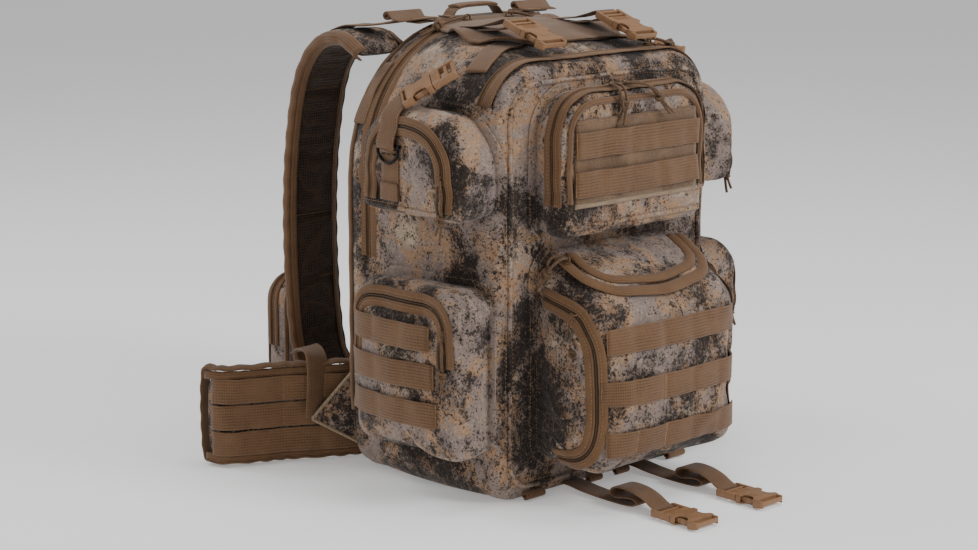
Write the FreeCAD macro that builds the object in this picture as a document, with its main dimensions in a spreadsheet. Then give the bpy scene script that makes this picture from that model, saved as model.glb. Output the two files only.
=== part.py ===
"""Hunting backpack: a zipped pack with pockets, shoulder straps, hip belt wings and buckles.

Millimetres. The origin is the middle of the pack's base, +Z is up, -Y is the front of the pack
and +Y is the side that the wearer carries it on. A soft piece is a plain closed solid.
"""
import FreeCAD, Part
import math
import os
import Sketcher
from FreeCAD import Placement, Rotation, Vector

doc = FreeCAD.newDocument("backpack")
sheet = doc.addObject("Spreadsheet::Sheet", "sheet")

SIZES = {
    # the pack's outline, at its front and at its back
    "half_front": 150, "half_back": 167, "top_front": 430, "top_back": 460,
    "crown_front": 50, "crown_back": 150, "foot_front": 28, "foot_back": 36,
    "front_y": -95, "back_y": 112, "wall": 3, "base_trim": 2,
    # zips round the pack
    "main_zip_y": "=back_y - 32", "front_zip_y": "=front_y + 29",
    "zip_width": 28, "zip_proud": 1.8, "main_zip_end": 226,
    # upper front pocket
    "pocket_half": 100, "pocket_low": 268, "pocket_high": 405, "pocket_depth": 38,
    "pocket_crown": 45, "pocket_foot": 15, "field_corner": 4,
    "field_half": 88, "field_low": 300, "field_high": 382, "field_proud": 2,
    # lower front pouch and its lid
    "pouch_half": 100, "pouch_low": 40, "pouch_high": 252, "pouch_lip": 206, "pouch_depth": 88,
    "pouch_corner": 14, "top_inset": 3, "top_thick": 4, "lid_half": 78, "lid_length": 64,
    "lid_gap": 1, "lid_back": 16,
    # pouches and pockets on the two sides
    "side_out": 38, "side_reach": "=half_back + side_out", "side_front": "=front_y + 1",
    "side_rear": "=main_zip_y - 22", "side_low": 55, "side_high": 218, "side_corner": 16,
    "cap_out": 33, "cap_reach": "=half_back + cap_out", "cap_front": "=front_y + 5",
    "cap_rear": "=main_zip_y - 28", "cap_drop": 52, "cap_tall": 98,
    "cap_high": "=(2 * top_front + top_back) / 3 - cap_drop", "cap_low": "=cap_high - cap_tall",
    "front_zip_end": "=cap_high + 4",
    "cap_crown": 45, "cap_foot": 12, "cap_strap_y": "=main_zip_y - 78", "seam_inset": 120,
    # load-carrying webbing
    "web_wide": 25.4, "web_thick": 1.6, "row_pitch": 50.8, "side_pitch": 38,
    "front_row_low": 58, "front_row_half": 95, "side_row_low": 86, "side_row_front": "=side_front + 26",
    "side_row_rear": "=side_rear - 10",
    # back of the pack
    "pad_thick": 14, "pad_inner": 18, "pad_outer": 112, "pad_low": 40, "pad_high": 372,
    "pad_corner": 24, "stiffener_half": 118, "stiffener_low": 30, "stiffener_high": 300,
    "stiffener_thick": 1.5, "stiffener_set": 5, "stay_wide": 25, "stay_thick": 3, "stay_place": 62,
    "stiffener_corner": 12, "stay_corner": 5, "stay_short": 10,
    # shoulder straps and the pouch on the left one
    "strap_inner": 82, "strap_wide": 68, "strap_thick": 14, "hold_inner": 86, "hold_wide": 58,
    "hold_low": 64, "hold_high": 174, "hold_depth": 36, "hold_gap": 1,
    "hold_foot": 8, "hold_crown": 26,
    # hip belt wings
    "belt_high": 107, "belt_thick": 12,
    # top of the pack
    "yoke_front": "=back_y - 17", "yoke_rear": "=back_y", "yoke_thick": 1.6, "flap_half": 74,
    "flap_front": "=front_zip_y + 30", "flap_rear": "=main_zip_y - 16", "handle_half": 42,
    "handle_rise": 8, "handle_thick": 3,
    "handle_clear": 0.6,
    # side-release buckles
    "buckle_wide": "=web_wide + 8.6", "buckle_thick": 9, "female_long": 34, "male_long": 26, "shell": 1.6,
    "prong_long": 22, "prong_wide": 6, "prong_thick": 4, "buckle_fit": 0.4, "bar_wide": 4,
    "lash_x": 65, "low_lash_x": 48,
    # rings, zip sliders and their pull cords
    "ring_wire": 3, "ring_half": 15, "slider_long": 12, "slider_wide": 9,
    "slider_base": 3.2, "slider_clear": 0.5, "bail_long": 8, "bail_wide": 3.6, "bail_high": 5.4,
    "bail_hole": 3, "cord_thick": 3,
}
for row, (name, size) in enumerate(SIZES.items(), start=1):
    sheet.set(f"A{row}", name)
    sheet.set(f"B{row}", str(size))
    sheet.setAlias(f"B{row}", name)
doc.recompute()

SIDES = {"left": -1, "right": 1}
nodes = {}


def size(name):
    """The number in the sheet's cell of this name."""
    return float(sheet.get(name))


def cells(text):
    """An expression whose names are the sheet's cells."""
    words = "".join(c if c.isalnum() or c == "_" else " " for c in text).split()
    for word in sorted(set(words), key=len, reverse=True):
        if word in SIZES:
            text = text.replace(word, f"<{sorted(SIZES).index(word)}>")
    for place, word in enumerate(sorted(SIZES)):
        text = text.replace(f"<{place}>", f"sheet.{word}")
    return text


def number(text):
    """What an expression over the sheet's cells comes to."""
    return float(sheet.evalExpression(cells(text).replace("sheet.", "")))


def bind(thing, target, text):
    """Bind one property of an object to an expression over the sheet's cells."""
    thing.setExpression(target, cells(text))


def keep(name, thing):
    """Name a finished sub-part; the name is its file's name."""
    thing.Label = name
    nodes[name] = thing
    return thing


def at_depth(key, depth):
    """The pack outline's size `key` at a depth, between its front and its back."""
    share = f"(({depth}) - front_y) / (back_y - front_y)"
    return f"({key}_front + ({key}_back - {key}_front) * {share})"


def rounded_sketch(body, name, role, offset, edges, low_radius, high_radius):
    """A rectangle with rounded corners on one of the body's own origin planes."""
    left, right, low, high = edges
    plane = next(f for f in body.Origin.OriginFeatures if f.Role == role)
    sketch = body.newObject("Sketcher::SketchObject", name)
    sketch.AttachmentSupport = [(plane, "")]
    sketch.MapMode = "FlatFace"
    bind(sketch, "AttachmentOffset.Base.z", offset)
    a, b, c, d = (number(e) for e in edges)
    r, q = number(low_radius), number(high_radius)
    corners = ((b - r, c + r, r, 270), (b - q, d - q, q, 0), (a + q, d - q, q, 90),
               (a + r, c + r, r, 180))
    ends = (((a + r, c), (b - r, c)), ((b, c + r), (b, d - q)), ((b - q, d), (a + q, d)),
            ((a, d - q), (a, c + r)))
    for (start, end), (x, y, radius, turn) in zip(ends, corners):
        sketch.addGeometry(Part.LineSegment(Vector(*start, 0), Vector(*end, 0)), False)
        circle = Part.Circle(Vector(x, y, 0), Vector(0, 0, 1), radius)
        first = math.radians(turn)
        sketch.addGeometry(Part.ArcOfCircle(circle, first, first + math.pi / 2), False)
    for i in range(8):
        sketch.addConstraint(Sketcher.Constraint("Tangent", i, 2, (i + 1) % 8, 1))
    for i, level in ((0, "Horizontal"), (2, "Vertical"), (4, "Horizontal"), (6, "Vertical")):
        sketch.addConstraint(Sketcher.Constraint(level, i))
    sketch.addConstraint(Sketcher.Constraint("Equal", 7, 1))
    sketch.addConstraint(Sketcher.Constraint("Equal", 5, 3))
    driven = (("DistanceX", 6, left, a), ("DistanceX", 2, right, b), ("DistanceY", 0, low, c),
              ("DistanceY", 4, high, d))
    for kind, line, text, start in driven:
        n = sketch.addConstraint(Sketcher.Constraint(kind, -1, 1, line, 1, start))
        bind(sketch, f"Constraints[{n}]", text)
    for arc, text, start in ((1, low_radius, r), (3, high_radius, q)):
        n = sketch.addConstraint(Sketcher.Constraint("Radius", arc, start))
        bind(sketch, f"Constraints[{n}]", text)
    return sketch


# A sketch plane, and which way its pad runs: XZ pads towards -Y, YZ towards +X, XY towards +Z.
ROLES = {"y": "XZ_Plane", "x": "YZ_Plane", "z": "XY_Plane"}


def prism(name, axis, low_end, high_end, edges, low_radius, high_radius):
    """A body: a rounded rectangle padded from one end to the other along an axis."""
    body = doc.addObject("PartDesign::Body", name)
    offset = f"-({high_end})" if axis == "y" else low_end
    sketch = rounded_sketch(body, name + "_outline", ROLES[axis], offset, edges,
                            low_radius, high_radius)
    pad = body.newObject("PartDesign::Pad", name + "_pad")
    pad.Profile = sketch
    bind(pad, "Length", f"({high_end}) - ({low_end})")
    return body


def hollow(body, axis, low_end, high_end, edges, low_radius, high_radius):
    """Cut a rounded rectangular space out of a body, between two places along an axis."""
    offset = f"-({low_end})" if axis == "y" else high_end
    sketch = rounded_sketch(body, body.Name + "_space", ROLES[axis], offset, edges,
                            low_radius, high_radius)
    doc.recompute()
    before = body.Shape.Volume
    pocket = body.newObject("PartDesign::Pocket", body.Name + "_pocket")
    pocket.Profile = sketch
    bind(pocket, "Length", f"({high_end}) - ({low_end})")
    doc.recompute()
    assert body.Shape.Volume < before - 1, f"{body.Name}: the space cuts nothing"
    return body


def inset(edges, step):
    """Outline edges moved in by a step."""
    left, right, low, high = edges
    return (f"({left}) + {step}", f"({right}) - {step}", f"({low}) + {step}", f"({high}) - {step}")


def arch_sketch(body, name, depth, grow, low="0"):
    """The pack's arched outline at a depth, grown all round by a step."""
    half = at_depth("half", depth)
    edges = (f"-({half} + ({grow}))", f"{half} + ({grow})", low,
             f"{at_depth('top', depth)} + ({grow})")
    return rounded_sketch(body, name, "XZ_Plane", f"-({depth})", edges,
                          f"{at_depth('foot', depth)} + ({grow})",
                          f"{at_depth('crown', depth)} + ({grow})")


def arch_loft(body, kind, name, first, last, grow, low="0"):
    """Loft the pack's outline from one depth to another, adding or taking away."""
    loft = body.newObject(f"PartDesign::{kind}Loft", name)
    loft.Profile = arch_sketch(body, name + "_first", first, grow, low)
    loft.Sections = [arch_sketch(body, name + "_last", last, grow, low)]
    loft.Ruled = True
    return loft


def compartment(name, first, last, open_back):
    """A shell of the pack between two depths, open on its back or on its front."""
    body = doc.addObject("PartDesign::Body", name)
    arch_loft(body, "Additive", name + "_shell", first, last, "0", "-base_trim")
    inner = (f"({first}) + wall", last) if open_back else (first, f"({last}) - wall")
    arch_loft(body, "Subtractive", name + "_room", *inner, "-wall", "wall")
    ground = box(name + "_ground", ("2 * half_back", f"({last}) - ({first}) + 2", "2 * base_trim"),
                 ("-half_back", f"({first}) - 1", "-2 * base_trim"))
    return keep(name, cut(name + "_flat", body, ground))


def zip_band(name, middle, end):
    """A zip with its two tapes, over the pack's top and down both sides."""
    body = doc.addObject("PartDesign::Body", name)
    ends = (f"({middle}) - zip_width / 2", f"({middle}) + zip_width / 2")
    arch_loft(body, "Additive", name + "_tape", *ends, "zip_proud")
    arch_loft(body, "Subtractive", name + "_inside", *ends, "0")
    hollow(body, "y", f"{ends[0]} - 1", f"{ends[1]} + 1",
           ("-half_back - 20", "half_back + 20", "-10", end), "1", "1")
    return keep(name, body)


def box(name, sizes, corner):
    """A block whose sizes and lowest corner are expressions; with no corner it is placed later."""
    block = doc.addObject("Part::Box", name)
    for prop, text in zip(("Length", "Width", "Height"), sizes):
        bind(block, prop, text)
    for prop, text in zip("xyz", corner):
        bind(block, f"Placement.Base.{prop}", text)
    return block


def cut(name, base, tool):
    """One shape less another."""
    result = doc.addObject("Part::Cut", name)
    result.Base = base
    result.Tool = tool
    return result


def fuse(name, shapes):
    """Several shapes as one solid."""
    result = doc.addObject("Part::MultiFuse", name)
    result.Shapes = shapes
    return result


def group(name, shapes):
    """Several separate solids in one node."""
    result = doc.addObject("Part::Compound", name)
    result.Links = shapes
    return keep(name, result)


def frame_at(origin, along, out):
    """A placement whose X is `along` and whose Z is `out`."""
    x = Vector(*along).normalize()
    z = Vector(*out)
    z = (z - x * z.dot(x)).normalize()
    y = z.cross(x)
    matrix = FreeCAD.Matrix(x.x, y.x, z.x, origin[0], x.y, y.y, z.y, origin[1],
                            x.z, y.z, z.z, origin[2], 0, 0, 0, 1)
    return Placement(matrix)


def solid(name, shape):
    """A sub-part whose shape is worked out in code."""
    thing = doc.addObject("Part::Feature", name)
    thing.Shape = shape
    return thing


def ribbon(points, thick, low, wide, axis="x"):
    """A flat strap: a line of points in a plane, given its thickness, drawn out to its width.

    With axis x the points are (y, z) and the width runs along X; with y they are (x, z), with
    z they are (x, y).
    """
    flat = [Vector(a, b, 0) for a, b in points]
    normals = []
    for i in range(len(flat)):
        sides = [flat[j + 1] - flat[j] for j in (i - 1, i) if 0 <= j < len(flat) - 1]
        across = [Vector(-s.y, s.x, 0).normalize() for s in sides]
        total = (across[0] + across[-1]).normalize()
        normals.append(total * (thick / 2 / total.dot(across[0])))
    ring = [p + n for p, n in zip(flat, normals)] + [p - n for p, n in zip(flat, normals)][::-1]
    spots = {"x": lambda p: Vector(low, p.x, p.y), "y": lambda p: Vector(p.x, low, p.y),
             "z": lambda p: Vector(p.x, p.y, low)}
    ring = [spots[axis](p) for p in ring]
    reach = Vector(*(wide if axis == name else 0 for name in "xyz"))
    return Part.Face(Part.makePolygon(ring + ring[:1])).extrude(reach)


def strip(start, end, out, wide, thick):
    """A straight flat piece of webbing between two points, facing `out`."""
    reach = Vector(*end) - Vector(*start)
    piece = Part.makeBox(reach.Length, wide, thick, Vector(0, -wide / 2, 0))
    piece.Placement = frame_at(start, reach, out)
    return piece


def round_path(name, points):
    """Straight runs joined by tangent arcs, as large as the two runs allow."""
    line = [Vector(*p) for p in points]
    edges = []
    radii = []
    last = line[0]
    for before, corner, after in zip(line, line[1:], line[2:]):
        inward = (corner - before).normalize()
        outward = (after - corner).normalize()
        turn = inward.getAngle(outward)
        run = 0.45 * min((corner - before).Length, (after - corner).Length)
        radii.append(run / math.tan(turn / 2))
        first = corner - inward * run
        final = corner + outward * run
        middle_way = (outward - inward).normalize()
        dip = radii[-1] * (1 / math.cos(turn / 2) - 1)
        edges.append(Part.LineSegment(last, first).toShape())
        edges.append(Part.Arc(first, corner + middle_way * dip, final).toShape())
        last = final
    edges.append(Part.LineSegment(last, line[-1]).toShape())
    print(f"{name}: bend radii", ", ".join(f"{r:.0f}" for r in radii))
    return Part.Wire(edges)


def tube(name, points, thick):
    """A round cord along a path of runs and arcs."""
    path = round_path(name, points)
    start = path.Edges[0]
    away = start.tangentAt(start.FirstParameter)
    ring = Part.Wire(Part.makeCircle(thick / 2, Vector(*points[0]), away))
    shape = path.makePipeShell([ring], True, False)
    ratio = shape.Volume / (math.pi * thick**2 / 4 * path.Length)
    assert 0.98 < ratio < 1.02, f"{name}: volume is {ratio:.3f} of section times length"
    return shape


# ---- the pack's compartments, and what stiffens its back

compartment("front_compartment", "front_y", "front_zip_y", True)
compartment("main_compartment", "front_zip_y", "main_zip_y", True)
compartment("rear_compartment", "main_zip_y", "back_y", False)
zip_band("main_zip", "main_zip_y", "main_zip_end")
zip_band("front_zip", "front_zip_y", "front_zip_end")

envelope = doc.addObject("PartDesign::Body", "envelope")
arch_loft(envelope, "Additive", "envelope_loft", "front_y", "back_y", "0")

inner_back = "back_y - wall - stiffener_set"
keep("frame_sheet", prism("frame_sheet", "y", f"{inner_back} - stiffener_thick", inner_back,
                          ("-stiffener_half", "stiffener_half", "stiffener_low",
                           "stiffener_high"), "stiffener_corner", "stiffener_corner"))
stay_back = f"{inner_back} - stiffener_thick"
stays = []
for side, sign in SIDES.items():
    middle = f"{sign} * stay_place"
    stays.append(prism(f"stay_{side}", "y", f"{stay_back} - stay_thick", stay_back,
                       (f"{middle} - stay_wide / 2", f"{middle} + stay_wide / 2",
                        "stiffener_low + stay_short", "stiffener_high - stay_short"),
                       "stay_corner", "stay_corner"))
group("frame_stays", stays)

pads = []
for side, sign in SIDES.items():
    near, far = ("-pad_outer", "-pad_inner") if sign < 0 else ("pad_inner", "pad_outer")
    pads.append(prism(f"pad_{side}", "y", "back_y", "back_y + pad_thick",
                      (near, far, "pad_low", "pad_high"), "pad_corner", "pad_corner"))
group("back_pads", pads)

# ---- the pocket and the pouch on the front

pocket_front = "front_y - pocket_depth"
pocket_edges = ("-pocket_half", "pocket_half", "pocket_low", "pocket_high")
pocket = prism("upper_pocket", "y", pocket_front, "front_y", pocket_edges, "pocket_foot",
               "pocket_crown")
hollow(pocket, "y", f"{pocket_front} + wall", "front_y", inset(pocket_edges, "wall"),
       "pocket_foot - wall", "pocket_crown - wall")
keep("upper_pocket", pocket)
keep("pocket_field", prism("pocket_field", "y", f"{pocket_front} - field_proud", pocket_front,
                           ("-field_half", "field_half", "field_low", "field_high"),
                           "field_corner", "field_corner"))

pouch_front = "front_y - pouch_depth"
pouch_edges = ("-pouch_half", "pouch_half", "pouch_low", "pouch_high")
pouch = prism("lower_pouch", "y", pouch_front, "front_y", pouch_edges, "pouch_corner", "pouch_corner")
hollow(pouch, "y", f"{pouch_front} + wall", "front_y", inset(pouch_edges, "wall"),
       "pouch_corner - wall", "pouch_corner - wall")
SLOPE = math.atan2(number("pouch_high - pouch_lip"), size("pouch_depth"))
pouch_slope = Placement(Vector(0, size("front_y"), size("pouch_high")),
                        Rotation(Vector(1, 0, 0), math.degrees(SLOPE)))
above = box("above_slope", ("2 * pouch_half + 40", "2 * pouch_depth", "pouch_high"), ())
above.Placement = pouch_slope.multiply(
    Placement(Vector(-size("pouch_half") - 20, -2 * size("pouch_depth"), 0), Rotation()))
keep("lower_pouch", cut("lower_pouch_open", pouch, above))

# The top lies on the slope; in its own frame Y runs back up the slope to the pack.
slope_long = size("pouch_depth") / math.cos(SLOPE)
pouch_top = prism("pouch_top", "z", "0", "top_thick",
                  ("-pouch_half + top_inset", "pouch_half - top_inset",
                   f"-{slope_long} + top_inset", "-top_inset"), "12", "4")
hollow(pouch_top, "z", "0", "top_thick",
       ("-lid_half - lid_gap", "lid_half + lid_gap", "-lid_back - lid_length - lid_gap",
        "-lid_back + lid_gap"), "10", "3")
pouch_top.Placement = pouch_slope
keep("pouch_top", pouch_top)
pouch_lid = prism("pouch_lid", "z", "0.3", "top_thick",
                  ("-lid_half", "lid_half", "-lid_back - lid_length", "-lid_back"), "9", "2")
pouch_lid.Placement = pouch_slope
keep("pouch_lid", pouch_lid)

rows = []
for i in range(3):
    low = f"front_row_low + {i} * row_pitch"
    rows.append(box(f"front_row_{i}", ("2 * front_row_half", "web_thick", "web_wide"),
                    ("-front_row_half", f"{pouch_front} - web_thick", low)))
    for side, sign in SIDES.items():
        x = "-side_reach - web_thick" if sign < 0 else "side_reach"
        rows.append(box(f"side_row_{side}_{i}", ("web_thick", "side_row_rear - side_row_front",
                                                 "web_wide"),
                        (x, "side_row_front", f"side_row_low + {i} * side_pitch")))
group("webbing_rows", rows)

# ---- pouches low on the sides and domed pockets above them, fitted to the pack's surface


def side_bag(name, sign, reach, edges, low_radius, high_radius):
    """A pouch on one side of the pack, open towards the pack and fitted to its surface."""
    ends = (f"-{reach}", "-seam_inset") if sign < 0 else ("seam_inset", reach)
    room = (f"-{reach} + wall", "-seam_inset") if sign < 0 else ("seam_inset", f"{reach} - wall")
    bag = prism(name + "_bag", "x", *ends, edges, low_radius, high_radius)
    hollow(bag, "x", *room, inset(edges, "wall"), f"{low_radius} - wall", f"{high_radius} - wall")
    return keep(name, cut(name, bag, envelope))


for side, sign in SIDES.items():
    side_bag(f"side_pouch_{side}", sign, "side_reach",
             ("side_front", "side_rear", "side_low", "side_high"), "side_corner", "side_corner")
    side_bag(f"side_pocket_{side}", sign, "cap_reach",
             ("cap_front", "cap_rear", "cap_low", "cap_high"), "cap_foot", "cap_crown")

# ---- straps, belt wings, yoke and handle

# Behind the pack's back, and as a share of its height.
STRAP_LINE = [(size("back_y") + y, size("top_back") * share) for y, share in (
    (0.26 * size("strap_thick"), 0.935), (34, 0.965), (72, 0.948), (102, 0.865), (119, 0.717),
    (126, 0.543), (124, 0.359), (116, 0.228), (104, 0.174))]
# Out from the pack's side, and behind the face of its back pads.
pads_back = number("back_y + pad_thick")
WING_LINE = [(size("half_back") + x, pads_back + y) for x, y in (
    (-53, 8), (-27, 14), (5, 30), (39, 50), (71, 64), (95, 78), (101, 96))]
# Ahead of the pack's front, and up from the ground.
LOW_LASH_LINE = [(size("front_y") + y, z) for y, z in (
    (-0.3, 6), (-27, 3.2), (-55, 3.2), (-77, 5), (-95, 3.2), (-119, 3.2))]

for side, sign in SIDES.items():
    low_x = -size("strap_inner") - size("strap_wide") if sign < 0 else size("strap_inner")
    keep(f"shoulder_strap_{side}",
         solid(f"strap_{side}", ribbon(STRAP_LINE, size("strap_thick"), low_x, size("strap_wide"))))
    wing = ribbon([(sign * x, y) for x, y in WING_LINE], size("belt_thick"), 0,
                  size("belt_high"), "z")
    keep(f"belt_wing_{side}", solid(f"wing_{side}", wing))

strap_back = max(y for y, _ in STRAP_LINE)
hold_front = f"{strap_back} + strap_thick / 2 + hold_gap"
keep("strap_pouch", prism("strap_pouch", "y", hold_front, f"{hold_front} + hold_depth",
                          ("-hold_inner - hold_wide", "-hold_inner", "hold_low", "hold_high"),
                          "hold_foot", "hold_crown"))

gussets = []
for side, sign in SIDES.items():
    edge = size("half_back")
    back = size("back_y")
    root = sign * (edge - 14)
    points = [(root, back, 104), (root, back, 34), (sign * (edge + 19), pads_back + 20, 49)]
    face = Part.Face(Part.makePolygon([Vector(*p) for p in points + points[:1]]))
    gussets.append(solid(f"gusset_{side}", face.extrude(Vector(-sign * 5, 3, 0))))
    across = edge + 4.3 + size("web_wide") / 2
    riser = strip((sign * across, pads_back + 21, 58), (sign * (across - 2), pads_back + 21, 108),
                  (0, -1, 0), size("web_wide"), size("web_thick"))
    beside_strap = size("strap_inner") + size("strap_wide") + 2
    bridge = strip((sign * (edge + 14), pads_back + 22, 110), (sign * beside_strap, pads_back + 88, 110),
                   (0, 0, 1), size("web_wide"), size("web_thick"))
    gussets.append(solid(f"gusset_riser_{side}", riser))
    gussets.append(solid(f"gusset_bridge_{side}", bridge))
group("strap_gussets", gussets)

yoke_level = "top_back + 0.2"
keep("yoke", prism("yoke", "z", yoke_level, f"{yoke_level} + yoke_thick",
                   ("-flap_half", "flap_half", "yoke_front", "yoke_rear"), "6", "6"))
flap_level = f"{at_depth('top', 'flap_rear')} + 0.5"
keep("top_flap", prism("top_flap", "z", flap_level, f"{flap_level} + yoke_thick",
                       ("-flap_half", "flap_half", "flap_front", "flap_rear"), "10", "10"))

handle_foot = number(f"{yoke_level} + yoke_thick + handle_clear + handle_thick / 2")
handle_half = size("handle_half")
handle_top = handle_foot + size("handle_rise")
HANDLE_LINE = [(-handle_half, handle_foot), (-handle_half + 7, handle_foot),
               (-handle_half + 16, handle_top), (handle_half - 16, handle_top),
               (handle_half - 7, handle_foot), (handle_half, handle_foot)]
handle = ribbon(HANDLE_LINE, size("handle_thick"), size("yoke_front"),
                number("yoke_rear - yoke_front"), "y")
keep("grab_handle", solid("handle", handle))

# ---- side-release buckles: X is across, Y along the webbing, Z out of the pack


def female_half(name):
    """The receptacle: hollow for the prongs, with a bar for webbing at its closed end."""
    case = box(name + "_case", ("buckle_wide", "female_long", "buckle_thick"),
               ("-buckle_wide / 2", "0", "0"))
    room = box(name + "_room", ("buckle_wide - 2 * shell", "prong_long + 1", "buckle_thick - 2 * shell"),
               ("-buckle_wide / 2 + shell", "0", "shell"))
    slot = box(name + "_slot", ("buckle_wide - 2 * bar_wide", "bar_wide", "buckle_thick"),
               ("-buckle_wide / 2 + bar_wide", "female_long - 1.5 * bar_wide", "0"))
    return cut(name, cut(name + "_case_open", case, room), slot)


def male_half(name):
    """The plug: three prongs on a frame with two bars for webbing."""
    frame = box(name + "_frame", ("buckle_wide", "male_long", "buckle_thick - 2"),
                ("-buckle_wide / 2", "-male_long - buckle_fit", "1"))
    for i in range(2):
        slot = box(f"{name}_slot_{i}", ("buckle_wide - 2 * bar_wide", "bar_wide", "buckle_thick"),
                   ("-buckle_wide / 2 + bar_wide", f"-male_long + bar_wide + {i} * 2 * bar_wide", "0"))
        frame = cut(f"{name}_frame_{i}", frame, slot)
    prongs = []
    for i in (-1, 0, 1):
        x = f"{i} * (buckle_wide / 2 - shell - buckle_fit - prong_wide / 2) - prong_wide / 2"
        prongs.append(box(f"{name}_prong_{i + 1}", ("prong_wide", "prong_long", "prong_thick"),
                          (x, "-buckle_fit - 0.5", "(buckle_thick - prong_thick) / 2")))
    return fuse(name, [frame] + prongs)


def place(thing, middle, along, out):
    """Stand a buckle half on the pack; `along` is from its male end to its female end."""
    turn = frame_at(middle, along, out)
    thing.Placement = turn.multiply(Placement(Vector(0, 0, 0), Rotation(Vector(0, 0, 1), -90)))
    return thing


def above_top(depth, rise):
    """A height above the pack's top, at a depth."""
    return number(at_depth("top", str(depth))) + rise


lash_y = number("front_y + 43")
tilt = number("(top_back - top_front) / (back_y - front_y)") + 0.217
# name: the middle of the joint, the way from male to female, the way out; mirrored by side
BUCKLES = {
    "top": ((size("lash_x"), lash_y, above_top(lash_y, 19.8)), (0, -1, -tilt), (0, -tilt, 1)),
    "low": ((size("low_lash_x"), number("front_y - 151"), 0.8), (0, -1, 0), (0, 0, 1)),
    "side": ((number("cap_reach - 34"), number("cap_front + 68"), number("cap_high + 25")),
             (0.6, 0.6, -0.53), (0.4, 0, 0.92)),
}
fixed_halves = []
for kind, (middle, along, out) in BUCKLES.items():
    for side, sign in SIDES.items():
        spot = (sign * middle[0], middle[1], middle[2])
        way = (sign * along[0], along[1], along[2])
        face = (sign * out[0], out[1], out[2])
        female = place(female_half(f"female_{kind}_{side}"), spot, way, face)
        male = place(male_half(f"male_{kind}_{side}"), spot, way, face)
        moving, fixed = (male, female) if kind == "side" else (female, male)
        fixed_halves.append(fixed)
        part_name = "male" if kind == "side" else "female"
        keep(f"{kind}_buckle_{part_name}_{side}", moving)
group("buckle_fixed_halves", fixed_halves)

# ---- webbing that the buckles hang on

web = size("web_wide")
thin = size("web_thick")
lashes = []
carriers = []
for side, sign in SIDES.items():
    x = sign * size("low_lash_x") - web / 2
    lashes.append(solid(f"low_lash_{side}", ribbon(LOW_LASH_LINE, 3.2, x, web)))
    x = sign * size("lash_x")
    rear, front = lash_y + 56, lash_y + 29
    carriers.append(solid(f"top_lash_{side}", strip((x, rear, above_top(rear, 16.2)),
                                                    (x, front, above_top(front, 22.1)),
                                                    (0, 0.07, 1), web, thin)))
    near, far = lash_y + 28, lash_y + 14
    carriers.append(solid(f"top_strap_{side}", strip((x + sign * 19, near, above_top(near, 12.7)),
                                                     (x + sign * 47, far, above_top(far, 4.7)),
                                                     (sign * 0.5, 0, 1), web, thin)))
    face = size("cap_reach") + 0.2
    top = size("cap_high")
    y = size("cap_strap_y")
    foot = number("cap_low + cap_foot")
    carriers.append(solid(f"cap_strap_{side}", strip((sign * (face - 24.2), y, top + 0.2),
                                                     (sign * (face + thin), y, top + 0.2),
                                                     (0, 0, 1), web, thin)))
    carriers.append(solid(f"cap_strap_low_{side}", strip((sign * face, y, top), (sign * face, y, foot),
                                                         (sign, 0, 0), web, thin)))
group("low_lash_webbing", lashes)
group("top_webbing", carriers)

# ---- D-rings on the side pocket straps: a straight bar and a round bow

ring = size("ring_wire")
half = size("ring_half")
for side, sign in SIDES.items():
    x = sign * (size("cap_reach") + 6)
    top = size("cap_high") - 32
    middle_y = size("cap_strap_y")
    bow = [(x, middle_y - half, top), (x, middle_y - half, top - 8), (x, middle_y - 9, top - 15),
           (x, middle_y, top - 18), (x, middle_y + 9, top - 15), (x, middle_y + half, top - 8),
           (x, middle_y + half, top)]
    bar = Part.makeCylinder(ring / 2 + 0.3, 2 * half + 2 * ring,
                            Vector(x, middle_y - half - ring, top), Vector(0, 1, 0))
    keep(f"d_ring_{side}", solid(f"ring_{side}", tube(f"d_ring_{side}", bow, ring).fuse(bar)))

# ---- zip sliders and their pull cords


def slider(name):
    """A zip slider with a bail for its cord: X is along the zip, Z is out."""
    base = box(name + "_base", ("slider_long", "slider_wide", "slider_base"),
               ("-slider_long / 2", "-slider_wide / 2", "slider_clear"))
    bail = box(name + "_bail", ("bail_long", "bail_wide", "bail_high"),
               ("-bail_long / 2", "-bail_wide / 2", "slider_clear + slider_base"))
    hole = doc.addObject("Part::Cylinder", name + "_hole")
    bind(hole, "Radius", "bail_hole / 2")
    bind(hole, "Height", "bail_wide + 2")
    hole.Placement = Placement(Vector(0, size("bail_wide") / 2 + 1, 0), Rotation(Vector(1, 0, 0), 90))
    bind(hole, "Placement.Base.z", "slider_clear + slider_base + bail_high / 2")
    return cut(name, fuse(name + "_block", [base, bail]), hole)


# A cord's route from its slider: the way it goes, across that way, and out from the zip.
HANG = [(4.3, 0, 6.2), (14, 1.4, 5.6), (26, -1, 5), (38, 0.9, 4.6), (49, -0.4, 4.4), (59, -3, 4.3)]
OVER = [(2.1, 0, 6.6), (8.5, 0.6, 7.6), (15.5, 1, 4.6), (19.6, 0.6, -2), (20.6, -0.4, -11),
        (20.4, -1.6, -21), (20.8, -4, -31)]
OVER_ASKEW = [(2.3, 0, 6.6), (8, 1.6, 8), (13.5, 9, 7), (18.8, 17, 1.5), (20.8, 25, -8),
              (20.4, 33, -17), (20.8, 42, -26)]
CROWN = [(4.3, 0, 6.4), (15, 1.6, 5), (28, -1, 2.4), (41, 1, -1.6), (52, 0, -5.6), (62, -3, -10)]
CORNER = [(4.3, 0, 6.6), (13, 1, 6), (22, -0.6, 3.4), (31, 0.8, -0.8), (39, -0.4, -6), (46, -2, -12)]

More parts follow.
